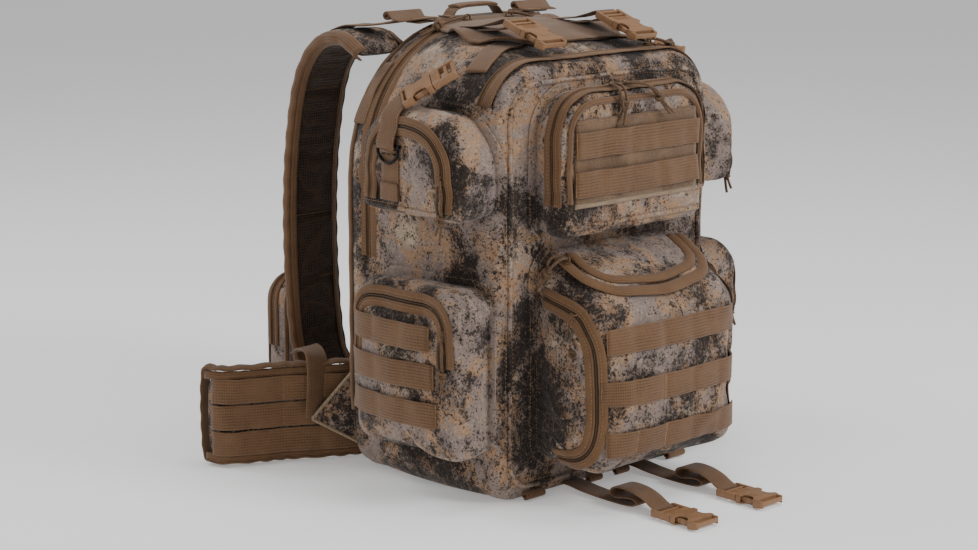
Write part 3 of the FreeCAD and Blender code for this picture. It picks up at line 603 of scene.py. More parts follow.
class Shape:
    """Collects closed solids with their texture coordinates in metres, then makes an object."""

    def __init__(self) -> None:
        """Start empty."""
        self.verts: list[Vector] = []
        self.faces: list[tuple[int, ...]] = []
        self.uvs: list[tuple[float, float]] = []
        self.mats: list[int] = []

    def loft(self, rings: Sequence[Sequence[Vector]], uvs: Sequence | None = None, mat: int | Callable[[int,
            int], int] = 0) -> None:
        """Skin over rings of equal count and close both ends.

        Args:
            rings: the rings.
            uvs: texture coordinates, ring by ring.
            mat: the material's number, or a function of ring and point that gives it.
        """
        n, base = len(rings[0]), len(self.verts)
        for i, ring in enumerate(rings):
            self.verts += ring
            self.uvs += uvs[i] if uvs else [(p.x + p.y, p.z) for p in ring]
        for i in range(len(rings) - 1):
            for j in range(n):
                k = (j + 1) % n
                a, b = base + i * n, base + (i + 1) * n
                self.faces.append((a + j, a + k, b + k, b + j))
                self.mats.append(mat if isinstance(mat, int) else mat(i, j))
        for i in (0, len(rings) - 1):
            hub = len(self.verts)
            self.verts.append(sum(rings[i], Vector()) / n)
            self.uvs.append(self.uvs[base + i * n])
            for j in range(n):
                a, b = base + i * n + j, base + i * n + (j + 1) % n
                self.faces.append((a, hub, b) if i == 0 else (b, hub, a))
                self.mats.append(mat if isinstance(mat, int) else mat(i, j))

    def ribbon(self, course: Course, wide: float | Callable[[float], float], thick: float, mat: int = 0,
            crown: float = 0.0, lift: Callable[[float], float] | None = None) -> None:
        """A flat strip along a course, with soft edges.

        Args:
            course: where it lies.
            wide: its width, or a function of distance along.
            thick: its thickness.
            mat: the material's number.
            crown: how much its middle stands up.
            lift: how far it stands off, by distance along.
        """
        rings, uvs, run = [], [], 0.0
        last = course.points[0]
        for p, a, f in zip(course.points, course.across, course.facing):
            run += (p - last).length
            last = p
            w = (wide(run) if callable(wide) else wide) / 2
            e = min(0.0008, w * 0.3)
            up = lift(run) if lift else 0.0
            section = [(w, thick * 0.3), (w, thick * 0.75), (w - e, thick + crown * 0.25), (w * 0.5, thick +
                crown * 0.8), (0.0, thick + crown), (-w * 0.5, thick + crown * 0.8), (e - w, thick + crown *
                0.25), (-w, thick * 0.75), (-w, thick * 0.3), (e - w, 0.0), (0.0, 0.0), (w - e, 0.0)]
            rings.append([p + a * x + f * (z + up) for x, z in section])
            uvs.append([(x, run) for x, _ in section])
        self.loft(rings, uvs, mat)

    def tube(self, points: Sequence[Vector], radius: float | Callable[[float], float], mat: int = 0, sides:
            int = 8) -> None:
        """A round cord along points, its frame carried along without twist."""
        pts = list(points)
        way = (pts[1] - pts[0]).normalized()
        up = way.orthogonal().normalized()
        rings, uvs, run = [], [], 0.0
        for i, p in enumerate(pts):
            way = (pts[min(i + 1, len(pts) - 1)] - pts[max(i - 1, 0)]).normalized()
            up = (up - way * up.dot(way)).normalized()
            side = way.cross(up)
            run += (p - pts[max(i - 1, 0)]).length
            r = radius(i / (len(pts) - 1)) if callable(radius) else radius
            turns = [2 * math.pi * k / sides for k in range(sides)]
            rings.append([p + (up * math.cos(t) + side * math.sin(t)) * r for t in turns])
            uvs.append([(t * r, run) for t in turns])
        self.loft(rings, uvs, mat)

    def plate(self, profile: Sequence[tuple[float, float]], low: float, high: float, bevel: float, place:
            Matrix, mat: int = 0) -> None:
        """A moulded piece: an outline given thickness, with rounded edges.

        Args:
            profile: the outline, X and Y.
            low: its underside, in Z.
            high: its top, in Z.
            bevel: the rounding's size.
            place: where the piece's own axes stand.
            mat: the material's number.
        """
        bm = bmesh.new()
        foot = [bm.verts.new((x, y, low)) for x, y in profile]
        top = [bm.verts.new((x, y, high)) for x, y in profile]
        bm.faces.new(foot[::-1])
        bm.faces.new(top)
        for i in range(len(profile)):
            j = (i + 1) % len(profile)
            bm.faces.new((foot[i], foot[j], top[j], top[i]))
        bmesh.ops.bevel(bm, geom=bm.edges[:], offset=bevel, segments=2, profile=0.6, affect="EDGES",
            clamp_overlap=True)
        bm.verts.index_update()
        base = len(self.verts)
        for v in bm.verts:
            self.verts.append(place @ v.co)
            self.uvs.append((v.co.x, v.co.y))
        for f in bm.faces:
            self.faces.append(tuple(base + v.index for v in f.verts))
            self.mats.append(mat)
        bm.free()

    def object(self, name: str, *materials: Material, smooth: bool = True) -> Object:
        """Make the object: merged, facing outward, with its coordinates and materials."""
        mesh = bpy.data.meshes.new(name)
        mesh.from_pydata(self.verts, [], self.faces)
        layer = mesh.uv_layers.new(name="strip")
        corners = [0] * len(mesh.loops)
        mesh.loops.foreach_get("vertex_index", corners)
        layer.data.foreach_set("uv", [c for i in corners for c in self.uvs[i]])
        mesh.polygons.foreach_set("material_index", self.mats)
        bm = bmesh.new()
        bm.from_mesh(mesh)
        bmesh.ops.recalc_face_normals(bm, faces=bm.faces)
        for face in bm.faces:
            face.smooth = smooth
        bm.to_mesh(mesh)
        bm.free()
        for material in materials:
            mesh.materials.append(material)
        made = bpy.data.objects.new(name, mesh)
        bpy.context.scene.collection.objects.link(made)
        return made


def sharpen(obj: Object, degrees: float) -> None:
    """Shade smooth, but keep edges sharper than an angle."""
    bm = bmesh.new()
    bm.from_mesh(obj.data)
    for edge in bm.edges:
        flat = len(edge.link_faces) != 2
        edge.smooth = not flat and edge.calc_face_angle(0.0) < math.radians(degrees)
    bm.to_mesh(obj.data)
    bm.free()


def baked(obj: Object) -> Mesh:
    """The object's mesh as its modifiers leave it."""
    bpy.context.view_layer.update()
    seen = obj.evaluated_get(bpy.context.evaluated_depsgraph_get())
    return bpy.data.meshes.new_from_object(seen)


class Skin:
    """The surface of one or more pieces, for laying webbing, zips and seams on."""

    def __init__(self, *objs: Object) -> None:
        """Gather the pieces' faces."""
        verts: list[Vector] = []
        faces: list[tuple[int, ...]] = []
        for obj in objs:
            base = len(verts)
            verts += [v.co.copy() for v in obj.data.vertices]
            faces += [tuple(base + i for i in p.vertices) for p in obj.data.polygons]
        self.tree = BVHTree.FromPolygons(verts, faces)

    def lay(self, points: Iterable[Point], inward: Point | Callable[[Vector], Vector], lift: float = 0.0,
            step: float = 0.004, reach: float = 0.05) -> Course:
        """Press a line onto the surface.

        Args:
            points: the line, near the surface.
            inward: the way to press, or a function of place that gives it.
            lift: how far the line stands off the surface.
            step: the spacing of the result.
            reach: how far the surface may be from the line.
        Returns:
            The laid course.
        """
        line = evenly([Vector(p) for p in points], step)
        spots, faces = [], []
        for p in line:
            way = (inward(p) if callable(inward) else Vector(inward)).normalized()
            hit, normal, _, _ = self.tree.ray_cast(p - way * reach, way, 2 * reach)
            if hit is None:
                spots.append(p.copy())
                faces.append(-way)
            else:
                normal = normal if normal.dot(way) < 0 else -normal
                spots.append(hit)
                faces.append((normal * 0.7 - way * 0.3).normalized())
        for _ in range(3):
            spots = self.soften(spots)
            faces = self.soften(faces)
        return Course([s + f.normalized() * lift for s, f in zip(spots, faces)], faces)

    def level(self, half: float, y: float, z: float, lift: float = 0.0) -> Course:
        """A level line over the front of a piece, pressed on from the front."""
        return self.lay([(-half, y, z), (half, y, z)], (0, 1, 0), lift)

    @staticmethod
    def soften(values: list[Vector]) -> list[Vector]:
        """Average each value with its neighbours; the ends stay."""
        inner = [(a + b * 2 + c) / 4 for a, b, c in zip(values, values[1:], values[2:])]
        return [values[0], *inner, values[-1]]


@dataclass
class Marks:
    """Places, headings and facings of small pieces that repeat."""

    spots: list[Vector] = field(default_factory=list)
    heads: list[Vector] = field(default_factory=list)
    faces: list[Vector] = field(default_factory=list)


class Small(Enum):
    """The small pieces that repeat, and the length, width and height of one, in metres."""

    STITCH = (0.0026, 0.0008, 0.0006)
    TACK = (0.0030, 0.0014, 0.0014)
    TOOTH = (0.0011, 0.0032, 0.0013)


class Rows:
    """Rows of stitches and zip teeth, made by one Geometry Nodes tree."""

    LOOK = {Small.STITCH: "sewing_thread", Small.TACK: "sewing_thread", Small.TOOTH: "coil_teeth"}

    def __init__(self, wardrobe: Wardrobe) -> None:
        """Start with no rows."""
        self.wardrobe = wardrobe
        self.marks: dict[tuple[Small, str], Marks] = {}
        self.tree = self.make_tree()

    def row(self, kind: Small, course: Course, pitch: float, body: str = PACK, lift: float = 0.0, across:
            bool = False) -> None:
        """Lay a row of pieces.

        Args:
            kind: which piece.
            course: the line.
            pitch: the spacing.
            body: the body that the row rides.
            lift: how far it stands off the line.
            across: whether each piece lies across the line.
        """
        marks = self.marks.setdefault((kind, body), Marks())
        total = course.length()
        at, run = pitch * 0.5, 0.0
        for i in range(len(course.points) - 1):
            a, b = course.points[i], course.points[i + 1]
            span = (b - a).length
            while at < run + span and at < total - pitch * 0.3:
                marks.spots.append(a.lerp(b, (at - run) / span) + course.facing[i] * lift)
                marks.heads.append(course.across[i] if across else course.ways[i])
                marks.faces.append(course.facing[i])
                at += pitch
            run += span

    @staticmethod
    def make_tree() -> NodeTree:
        """The tree: a rounded bead on every point, turned to its heading and facing."""
        tree = bpy.data.node_groups.new("row_of_pieces", "GeometryNodeTree")
        wanted = (("Geometry", "Geometry", None), ("Size", "Vector", (0.002, 0.001, 0.001)), ("Uneven",
            "Float", 0.12), ("Seed", "Int", 7), ("Finish", "Material", None))
        for label, kind, value in wanted:
            socket = tree.interface.new_socket(label, in_out="INPUT", socket_type=f"NodeSocket{kind}")
            if value is not None:
                socket.default_value = value
        tree.interface.new_socket("Geometry", in_out="OUTPUT", socket_type="NodeSocketGeometry")
        n = Nodes(tree)
        start = n.add("NodeGroupInput").outputs
        cloud = n.add("GeometryNodeMeshToPoints", {"Mesh": start["Geometry"]})
        bead = n.add("GeometryNodeMeshUVSphere", {"Segments": 6, "Rings": 4, "Radius": 0.5})
        shaped = n.add("GeometryNodeTransform", {"Geometry": bead.outputs[0], "Scale": start["Size"]})
        ways = []
        for label in ("heading", "facing"):
            ways.append(n.add("GeometryNodeInputNamedAttribute", {"Name": label},
                data_type="FLOAT_VECTOR").outputs[0])
        turn = n.add("FunctionNodeAlignRotationToVector", {"Vector": ways[0]}, axis="X")
        turn = n.add("FunctionNodeAlignRotationToVector", {"Rotation": turn.outputs[0], "Vector": ways[1]},
            axis="Z", pivot_axis="X")
        low = n.math("SUBTRACT", 1.0, start["Uneven"])
        high = n.math("ADD", 1.0, start["Uneven"])
        vary = n.add("FunctionNodeRandomValue", {"Seed": start["Seed"]}, data_type="FLOAT")
        tree.links.new(low, vary.inputs[2])
        tree.links.new(high, vary.inputs[3])
        placed = n.add("GeometryNodeInstanceOnPoints", {"Points": cloud.outputs[0], "Instance":
            shaped.outputs[0], "Rotation": turn.outputs[0], "Scale": vary.outputs[1]})
        real = n.add("GeometryNodeRealizeInstances", {0: placed.outputs[0]})
        done = n.add("GeometryNodeSetMaterial", {"Geometry": real.outputs[0], "Material": start["Finish"]})
        end = n.add("NodeGroupOutput")
        tree.links.new(done.outputs[0], end.inputs[0])
        return tree

    def make(self) -> None:
        """Turn every row into a plain mesh, one for each kind and body."""
        order = sorted(self.marks, key=lambda key: (key[0].name, key[1]))
        for seed, (kind, body) in enumerate(order):
            marks = self.marks[kind, body]
            look = self.LOOK[kind]
            mesh = bpy.data.meshes.new("places")
            mesh.from_pydata(marks.spots, [], [])
            for label, values in (("heading", marks.heads), ("facing", marks.faces)):
                layer = mesh.attributes.new(label, "FLOAT_VECTOR", "POINT")
                layer.data.foreach_set("vector", [c for v in values for c in v])
            host = bpy.data.objects.new("places", mesh)
            bpy.context.scene.collection.objects.link(host)
            modifier = host.modifiers.new("rows", "NODES")
            modifier.node_group = self.tree
            values = {"Size": kind.value, "Uneven": 0.12, "Seed": 11 + seed, "Finish": self.wardrobe[look]}
            for item in self.tree.interface.items_tree:
                if item.in_out == "INPUT" and item.name in values:
                    modifier[item.identifier] = values[item.name]
            made = bpy.data.objects.new(f"{kind.name.lower()}_rows_{body}", baked(host))
            bpy.data.objects.remove(host)
            bpy.context.scene.collection.objects.link(made)
            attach(made, body)
            log.info("%s: %d pieces", made.name, len(marks.spots))


@dataclass(frozen=True)
class Inflation:
    """Fills a sewn piece with air for a moment, so its cloth swells and puckers at its seams."""

    voxel: float = 0.005
    pressure: float = 4.0
    stretch: float = -0.03
    cap: float = 0.009
    frames: int = 20

    def __call__(self, obj: Object, held: Callable[[Vector], float]) -> None:
        """Swell the piece in place.

        Args:
            obj: the piece.
            held: how firmly the seam holds a point, 0 to 1.
        """
        remesh = obj.modifiers.new("remesh", "REMESH")
        remesh.mode = "VOXEL"
        remesh.voxel_size = self.voxel
        old = obj.data
        materials = list(old.materials)
        obj.data = baked(obj)
        obj.modifiers.clear()
        bpy.data.meshes.remove(old)
        rest = [v.co.copy() for v in obj.data.vertices]
        group = obj.vertex_groups.new(name="held")
        for i, p in enumerate(rest):
            group.add([i], min(max(held(p), 0.0), 1.0), "REPLACE")
        cloth = obj.modifiers.new("cloth", "CLOTH")
        settings = cloth.settings
        settings.quality = 5
        settings.mass = 0.25
        settings.tension_stiffness = settings.compression_stiffness = 12.0
        settings.bending_stiffness = 0.6
        settings.vertex_group_mass = "held"
        settings.use_pressure = True
        settings.uniform_pressure_force = self.pressure
        settings.shrink_min = self.stretch
        settings.effector_weights.gravity = 0.0
        cloth.point_cache.frame_start = 1
        cloth.point_cache.frame_end = self.frames
        scene = bpy.context.scene
        for frame_number in range(1, self.frames + 1):
            scene.frame_set(frame_number)
        moved = baked(obj)
        obj.modifiers.clear()
        scene.frame_set(1)
        for vertex, p, q in zip(obj.data.vertices, rest, moved.vertices):
            shift = q.co - p
            far = shift.length
            if far > 0 and not math.isnan(far):
                vertex.co = p + shift * (min(far, self.cap) / far)
        bpy.data.meshes.remove(moved)
        obj.vertex_groups.clear()
        rounder = obj.modifiers.new("rounder", "SUBSURF")
        rounder.levels = 1
        old = obj.data
        obj.data = baked(obj)
        obj.modifiers.clear()
        bpy.data.meshes.remove(old)
        if not obj.data.materials:
            for material in materials:
                obj.data.materials.append(material)
        for polygon in obj.data.polygons:
            polygon.use_smooth = True


@dataclass
class Kit:
    """What every sub-assembly works with."""

    wardrobe: Wardrobe
    rows: Rows
    inflate: Inflation
    skins: dict[str, Skin] = field(default_factory=dict)

    def settle(self, obj: Object, body: str = PACK, replaces: Sequence[str] = ()) -> Object:
        """Give a finished piece its body and the CAD nodes it stands for."""
        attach(obj, body)
        if replaces:
            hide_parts(*replaces)
        size = obj.dimensions
        log.info("%s on %s: %.0f x %.0f x %.0f mm", obj.name, body, *(1000 * d for d in size))
        return obj

    def ride_as(self, obj: Object, look: str, body: str = PACK, replaces: Sequence[str] = ()) -> Object:
        """Settle a piece."""
        return self.settle(obj, body, replaces)

    def stitch(self, course: Course, pitch: float, body: str = PACK) -> None:
        """Sew a row of stitches along a course."""
        self.rows.row(Small.STITCH, course, pitch, body)


class Assembly:
    """One sub-assembly of the pack."""

    def __init__(self, kit: Kit) -> None:
        self.kit = kit

    def look(self, *names: str) -> list[Material]:
        """The materials of some finishes."""
        return [self.kit.wardrobe[name] for name in names]

    def finish(self, shape: Shape, name: str, look: str = "coyote_webbing", body: str = PACK, replaces:
            Sequence[str] = (), sharp: float = 0.0) -> Object:
        """Make a shape into a piece and settle it.

        Args:
            shape: the shape.
            name: the piece's name.
            look: its finish.
            body: the body it rides.
            replaces: the CAD nodes it stands for.
            sharp: the angle above which its edges stay sharp, or 0 for a soft piece.
        Returns:
            The piece.
        """
        obj = shape.object(name, *self.look(look))
        if sharp:
            sharpen(obj, sharp)
        return self.kit.ride_as(obj, look, body, replaces)

    def tape(self, name: str, courses: Sequence[Course], wide: float, thick: float, crown: float = 0.0,
            look: str = "coyote_binding", body: str = PACK, replaces: Sequence[str] = (), edge: float | None
            = None) -> Object:
        """Tapes or bindings laid along courses, with a row of stitches near their edges.

        Args:
            name: the piece's name.
            courses: the lines.
            wide: the tape's width.
            thick: its thickness.
            crown: how round its back is.
            look: its finish.
            body: the body it rides.
            replaces: the CAD nodes it stands for.
            edge: how far from the middle the stitches run, or None for none.
        Returns:
            The piece.
        """
        shape = Shape()
        for course in courses:
            shape.ribbon(course, wide, thick, crown=crown)
            for side in ((-1, 1) if edge else ()):
                self.kit.stitch(course.shifted(side * edge, thick + crown * 0.3), 0.0034, body)
        return self.finish(shape, name, look, body, replaces)

    def cloth(self, bag: "Bag", name: str, seed: float, replaces: Sequence[str], held: Callable[[Vector],
            float] | None = None) -> Skin:
        """Make a bag's camouflage cloth.

        Args:
            bag: the bag.
            name: the piece's name.
            seed: which creases it has.
            replaces: the CAD nodes it stands for.
            held: how firmly its seams hold a point while it swells, or None for no swelling.
        Returns:
            Its surface.
        """
        obj = bag.build(name, self.kit.wardrobe["camo_cloth"], seed)
        if held:
            self.kit.inflate(obj, held)
        self.kit.ride_as(obj, "camo_cloth", replaces=replaces)
        return Skin(obj)

    def flange(self, bag: "Bag", name: str, inward: Point, inset: float, lift: float, wide: float, edge:
            float) -> None:
        """The flat welt where a bag is sewn to the pack."""
        course = self.kit.skins["body"].lay(bag.line(0.0, inset), inward, lift)
        self.tape(name, [course], wide, 0.0012, 0.0006, "camo_cloth", edge=edge)


class SidedAssembly(Assembly):
    """A sub-assembly that is made once for each side."""

    def __init__(self, kit: Kit, side: str) -> None:
        """Keep the side's name and the sign of its X."""
        super().__init__(kit)
        self.side = side
        self.sign = SIDES[side]


# ---- the pack itself


@dataclass(frozen=True)
class PackForm:
    """The pack's arched outline, which grows from its front to its back."""

    front: float = -0.095
    back: float = 0.112
    half: tuple[float, float] = (0.150, 0.167)
    top: tuple[float, float] = (0.430, 0.460)
    crown: tuple[float, float] = (0.050, 0.150)
    foot: tuple[float, float] = (0.028, 0.036)
    front_zip: float = -0.066
    main_zip: float = 0.080
    front_zip_end: float = 0.392
    main_zip_end: float = 0.226
    edge: float = 0.012
    count: int = 300

    def at(self, pair: tuple[float, float], y: float) -> float:
        """A size at a depth."""
        share = (y - self.front) / (self.back - self.front)
        return pair[0] + (pair[1] - pair[0]) * share

    def ring(self, y: float, grow: float = 0.0, share: float = 1.0) -> list[Vector]:
        """The outline at a depth.

        Args:
            y: the depth.
            grow: how far it is grown all round.
            share: its size as a share, about the middle of the face.
        Returns:
            The ring's points.
        """
        half, top = self.at(self.half, y) + grow, self.at(self.top, y) + grow
        pts = outline(-half, half, -min(grow, 0.0), top, self.at(self.foot, y), self.at(self.crown, y) +
            grow, self.count)
        hub = top * 0.5
        return [Vector((x * share, y, hub + (z - hub) * share)) for x, z in pts]

    def arch(self, y: float, end: float) -> list[Vector]:
        """The part of the outline above a level, from its left end to its right end."""
        ring = self.ring(y)
        half = len(ring) // 2
        left = [p for p in ring[half:][::-1] if p.z >= end]
        right = [p for p in ring[:half] if p.z >= end]
        return left + right[::-1]


class PackBody(Assembly):
    """The camouflage shell of the three compartments, with its zips, seams and welts."""

    def __init__(self, kit: Kit, form: PackForm = PackForm()) -> None:
        super().__init__(kit)
        self.form = form

    def puff(self, y: float) -> float:
        """How far the cloth stands out between the zips at a depth."""
        f = self.form
        if y < f.front_zip:
            return 0.0015 * swell((y - f.front) / (f.front_zip - f.front))
        if y < f.main_zip:
            return 0.0075 * swell((y - f.front_zip) / (f.main_zip - f.front_zip), 0.7) - 0.0005
        return 0.003 * swell((y - f.main_zip) / (f.back - f.main_zip)) - 0.0005

    def build(self) -> Object:
        """Make the shell and everything sewn into it."""
        f = self.form
        rings = []
        faces = [k / 22 for k in range(1, 23)]
        for share in faces:
            rings.append(f.ring(f.front, -f.edge, share))
        for k in range(1, 6):
            turn = math.radians(18 * k)
            rings.append(f.ring(f.front + f.edge * (1 - math.cos(turn)), -f.edge * (1 - math.sin(turn))))
        for k in range(1, 31):
            y = f.front + f.edge + (f.back - f.front - 2 * f.edge) * k / 31
            rings.append(f.ring(y, self.puff(y)))
        for k in range(5, 0, -1):
            turn = math.radians(18 * k)
            rings.append(f.ring(f.back - f.edge * (1 - math.cos(turn)), -f.edge * (1 - math.sin(turn))))
        for share in reversed(faces):
            rings.append(f.ring(f.back, -f.edge, share))
        rings = [[self.worn_in(p) for p in ring] for ring in rings]
        shape = Shape()
        shape.loft(rings)
        body = self.finish(shape, "pack_body", "camo_cloth", replaces=(
            "front_compartment", "main_compartment", "rear_compartment"))
        self.kit.skins["body"] = Skin(body)
        self.zips()
        self.welts()
        return body

    def worn_in(self, p: Vector) -> Vector:
        """Crease and dent a point of the shell, less beside the zips and at the base."""
        f = self.form
        calm = min(abs(p.y - f.front_zip), abs(p.y - f.main_zip)) / 0.03
        calm = min(1.0, 0.18 + calm) if f.front < p.y < f.back else 1.0
        low = min(1.0, max(p.z, 0.0) / 0.05)
        out = Vector((p.x, 0, max(0.0, p.z - 0.25))).normalized()
        if p.y <= f.front + 0.001:
            out = Vector((0, -1, 0))
        elif p.y >= f.back - 0.001:
            out = Vector((0, 1, 0))
            calm = 0.3
        amount = rumple(p, 3.7) * 0.0034 * calm * (0.35 + 0.65 * low)
        if p.z > f.at(f.top, p.y) - 0.02:
            amount = min(amount, 0.001)
        moved = p + out * amount
        moved.z = max(moved.z, 0.0005)
        return moved

    def inward(self, p: Vector) -> Vector:
        """The way from a place beside the shell towards its middle line."""
        high = self.form.at(self.form.top, p.y)
        crown = self.form.at(self.form.crown, p.y)
        hub_x = math.copysign(max(0.0, self.form.at(self.form.half, p.y) - crown), p.x)
        hub = Vector((hub_x if abs(p.x) > abs(hub_x) else p.x, p.y, min(p.z, high - crown)))
        way = hub - p
        return way if way.length > 0.004 else Vector((-math.copysign(1, p.x), 0, 0))

    def zips(self) -> None:
        """The two long zips over the top."""
        f = self.form
        skin = self.kit.skins["body"]
        for name, y, end, wide in (("main", f.main_zip, f.main_zip_end, 0.032), ("front", f.front_zip,
                f.front_zip_end, 0.038)):
            course = skin.lay(f.arch(y, end), self.inward)
            Zip(self.kit, f"{name}_zip_tapes", wide).build(course, replaces=(f"{name}_zip",))

    def welts(self) -> None:
        """Camouflage seams at the pack's front and back edges, each with its stitches."""
        f = self.form
        skin = self.kit.skins["body"]
        shape = Shape()
        front = f.ring(f.front, -0.014)
        half = len(front) // 2
        rear = [p for p in f.ring(f.back, -0.008) if p.z > 0.012]
        for line, way in ((front[half:] + front[:half], (0, 1, 0)), (rear, (0, -1, 0))):
            course = skin.lay(line, way)
            shape.ribbon(course, 0.0052, 0.0016, crown=0.0016)
            for side in (-0.0045, 0.0045):
                self.kit.stitch(course.shifted(side, 0.0004), 0.0042)
        self.finish(shape, "edge_welts", "camo_cloth")
        back = skin.lay(f.arch(f.back - 0.004, 0.060), self.inward)
        self.tape("back_edge_binding", [back], 0.010, 0.0018, 0.0022, edge=0.0036)


class Zip:
    """A zip: two tapes with stitched edges, and coil teeth between them."""

    def __init__(self, kit: Kit, name: str, wide: float = 0.022, gap: float = 0.0036) -> None:
        self.kit = kit
        self.name = name
        self.wide = wide
        self.gap = gap

    def build(self, course: Course, body: str = PACK, replaces: Sequence[str] = (), sides: Sequence[int] =
            (-1, 1), lift: float = 0.0) -> None:
        """Make the zip along a course.

        Args:
            course: its middle line.
            body: the body it rides.
            replaces: the CAD nodes it stands for.
            sides: which of the two tapes are made.
            lift: how far it stands off the surface.
        """
        shape = Shape()
        tape = (self.wide - self.gap) / 2
        base = course.shifted(0.0, lift)
        # a dark strip under the teeth: painted shade in the gap between the tapes
        shape.ribbon(base, self.gap + 0.004, 0.0006, mat=1)
        for side in sides:
            middle = base.shifted(side * (self.gap / 2 + tape / 2))
            shape.ribbon(middle, tape, 0.0011, crown=0.0009)
            lip = base.shifted(side * (self.gap / 2 + 0.0011), 0.0006)
            shape.ribbon(lip, 0.0022, 0.0012, crown=0.0007)
            edge = base.shifted(side * (self.wide / 2 - 0.0022), 0.0014)
            self.kit.stitch(edge, 0.0036, body)
            inner = base.shifted(side * (self.gap / 2 + 0.0036), 0.0018)
            self.kit.stitch(inner, 0.0036, body)
        if len(sides) == 2:
            self.kit.rows.row(Small.TOOTH, base, 0.0016, body, 0.0011, across=True)
        wardrobe = self.kit.wardrobe
        obj = shape.object(self.name, wardrobe["zip_tape"], wardrobe["dark_lining"])
        self.kit.ride_as(obj, "zip_tape", body, replaces)


@dataclass(frozen=True)
class LoadRow:
    """A row of webbing sewn down at even places, so that it stands off between them."""

    wide: float = 0.0254
    thick: float = 0.0016
    pitch: float = 0.038
    stand: float = 0.0022

    def build(self, kit: Kit, shape: Shape, course: Course, mat: int = 0, first: float = 0.0, body: str =
            PACK) -> None:
        """Lay the row.

        Args:
            shape: what the row is added to.
            course: its middle line.
            mat: the material's number.
            first: the distance to the first tack.
            body: the body it rides.
        """
        total = course.length()

        def lift(run: float) -> float:
            """Stand off between tacks."""
            return self.stand * swell(((run - first) % self.pitch) / self.pitch, 0.42)

        shape.ribbon(course, self.wide, self.thick, mat, lift=lift)
        places = [first + k * self.pitch for k in range(int((total - first) / self.pitch) + 1)]
        for at in [0.003, *(places if first else places[1:]), total - 0.003]:
            i = min(int(at / total * (len(course.points) - 1)), len(course.points) - 1)
            p, a, f = course.points[i], course.across[i], course.facing[i]
            ends = [p + a * self.wide * s * 0.47 + f * (self.thick + 0.0001) for s in (-1, 1)]
            tack = Course(evenly(ends, 0.002), f)
            kit.rows.row(Small.TACK, tack, 0.00125, body, across=True)


@dataclass(frozen=True)
class Bag:
    """A sewn bag: its outline on the pack, its depth and how it swells."""

    origin: Point
    right: Point
    up: Point
    out: Point
    box: tuple[float, float, float, float]
    rounds: tuple[float, float]
    depth: float
    start: float = -0.012
    edge: float = 0.010
    bulge: float = 0.004
    count: int = 200
    lean: float = 0.0

    def spot(self, a: float, b: float, depth: float) -> Vector:
        """A place from its across, up and outward sizes."""
        return (Vector(self.origin) + Vector(self.right) * a + Vector(self.up) * b + Vector(self.out) *
            depth)

    def ring(self, depth: float, inset: float = 0.0, share: float = 1.0) -> list[Vector]:
        """The outline at a depth, drawn in or shrunk."""
        left, right, low, high = self.box
        high -= self.lean * min(max(depth / self.depth, 0.0), 1.0)
        pts = outline(left + inset, right - inset, low + inset, high - inset, max(self.rounds[0] - inset,
            0.003), max(self.rounds[1] - inset, 0.003), self.count)
        mid_a, mid_b = (left + right) / 2, (low + high) / 2
        return [self.spot(mid_a + (a - mid_a) * share, mid_b + (b - mid_b) * share, depth) for a, b in pts]

    def line(self, depth: float, inset: float, level: float | None = None) -> list[Vector]:
        """The outline as an open line, from its left foot over the top to its right foot.

        Args:
            depth: how far out it runs.
            inset: how far in from the outline.
            level: the height that it stops at, or None to go round the foot to its middle.
        Returns:
            The points.
        """
        ring = self.ring(depth, inset)
        up = Vector(self.up)
        base = Vector(self.origin).dot(up)
        order = ring[::-1]
        if level is None:
            return order + [order[0]]
        return [p for p in order if p.dot(up) - base >= level]

    def build(self, name: str, material: Material, seed: float) -> Object:
        """Make the bag's mesh."""
        rings = []
        steps = max(3, round((self.depth - self.edge - self.start) / 0.006))
        rings.append(self.ring(self.start, 0.012, 0.9))
        for k in range(steps + 1):
            depth = self.start + (self.depth - self.edge - self.start) * k / steps
            hump = 0.0025 * swell(depth / self.depth)
            rings.append(self.ring(depth, -hump))
        for k in range(1, 6):
            turn = math.radians(18 * k)
            rings.append(self.ring(self.depth - self.edge * (1 - math.sin(turn)), self.edge * (1 -
                math.cos(turn))))
        for k in range(1, 15):
            share = 1 - k / 15
            rings.append(self.ring(self.depth + self.bulge * (1 - share ** 2), self.edge, share))
        out = Vector(self.out)
        made = []
        for ring in rings:
            moved = []
            for p in ring:
                depth = (p - Vector(self.origin)).dot(out)
                amount = rumple(p, seed, 1.25) * 0.0024 * min(max(depth / self.depth, 0), 1)
                moved.append(p + out * amount)
            made.append(moved)
        shape = Shape()
        shape.loft(made)
        return shape.object(name, material)


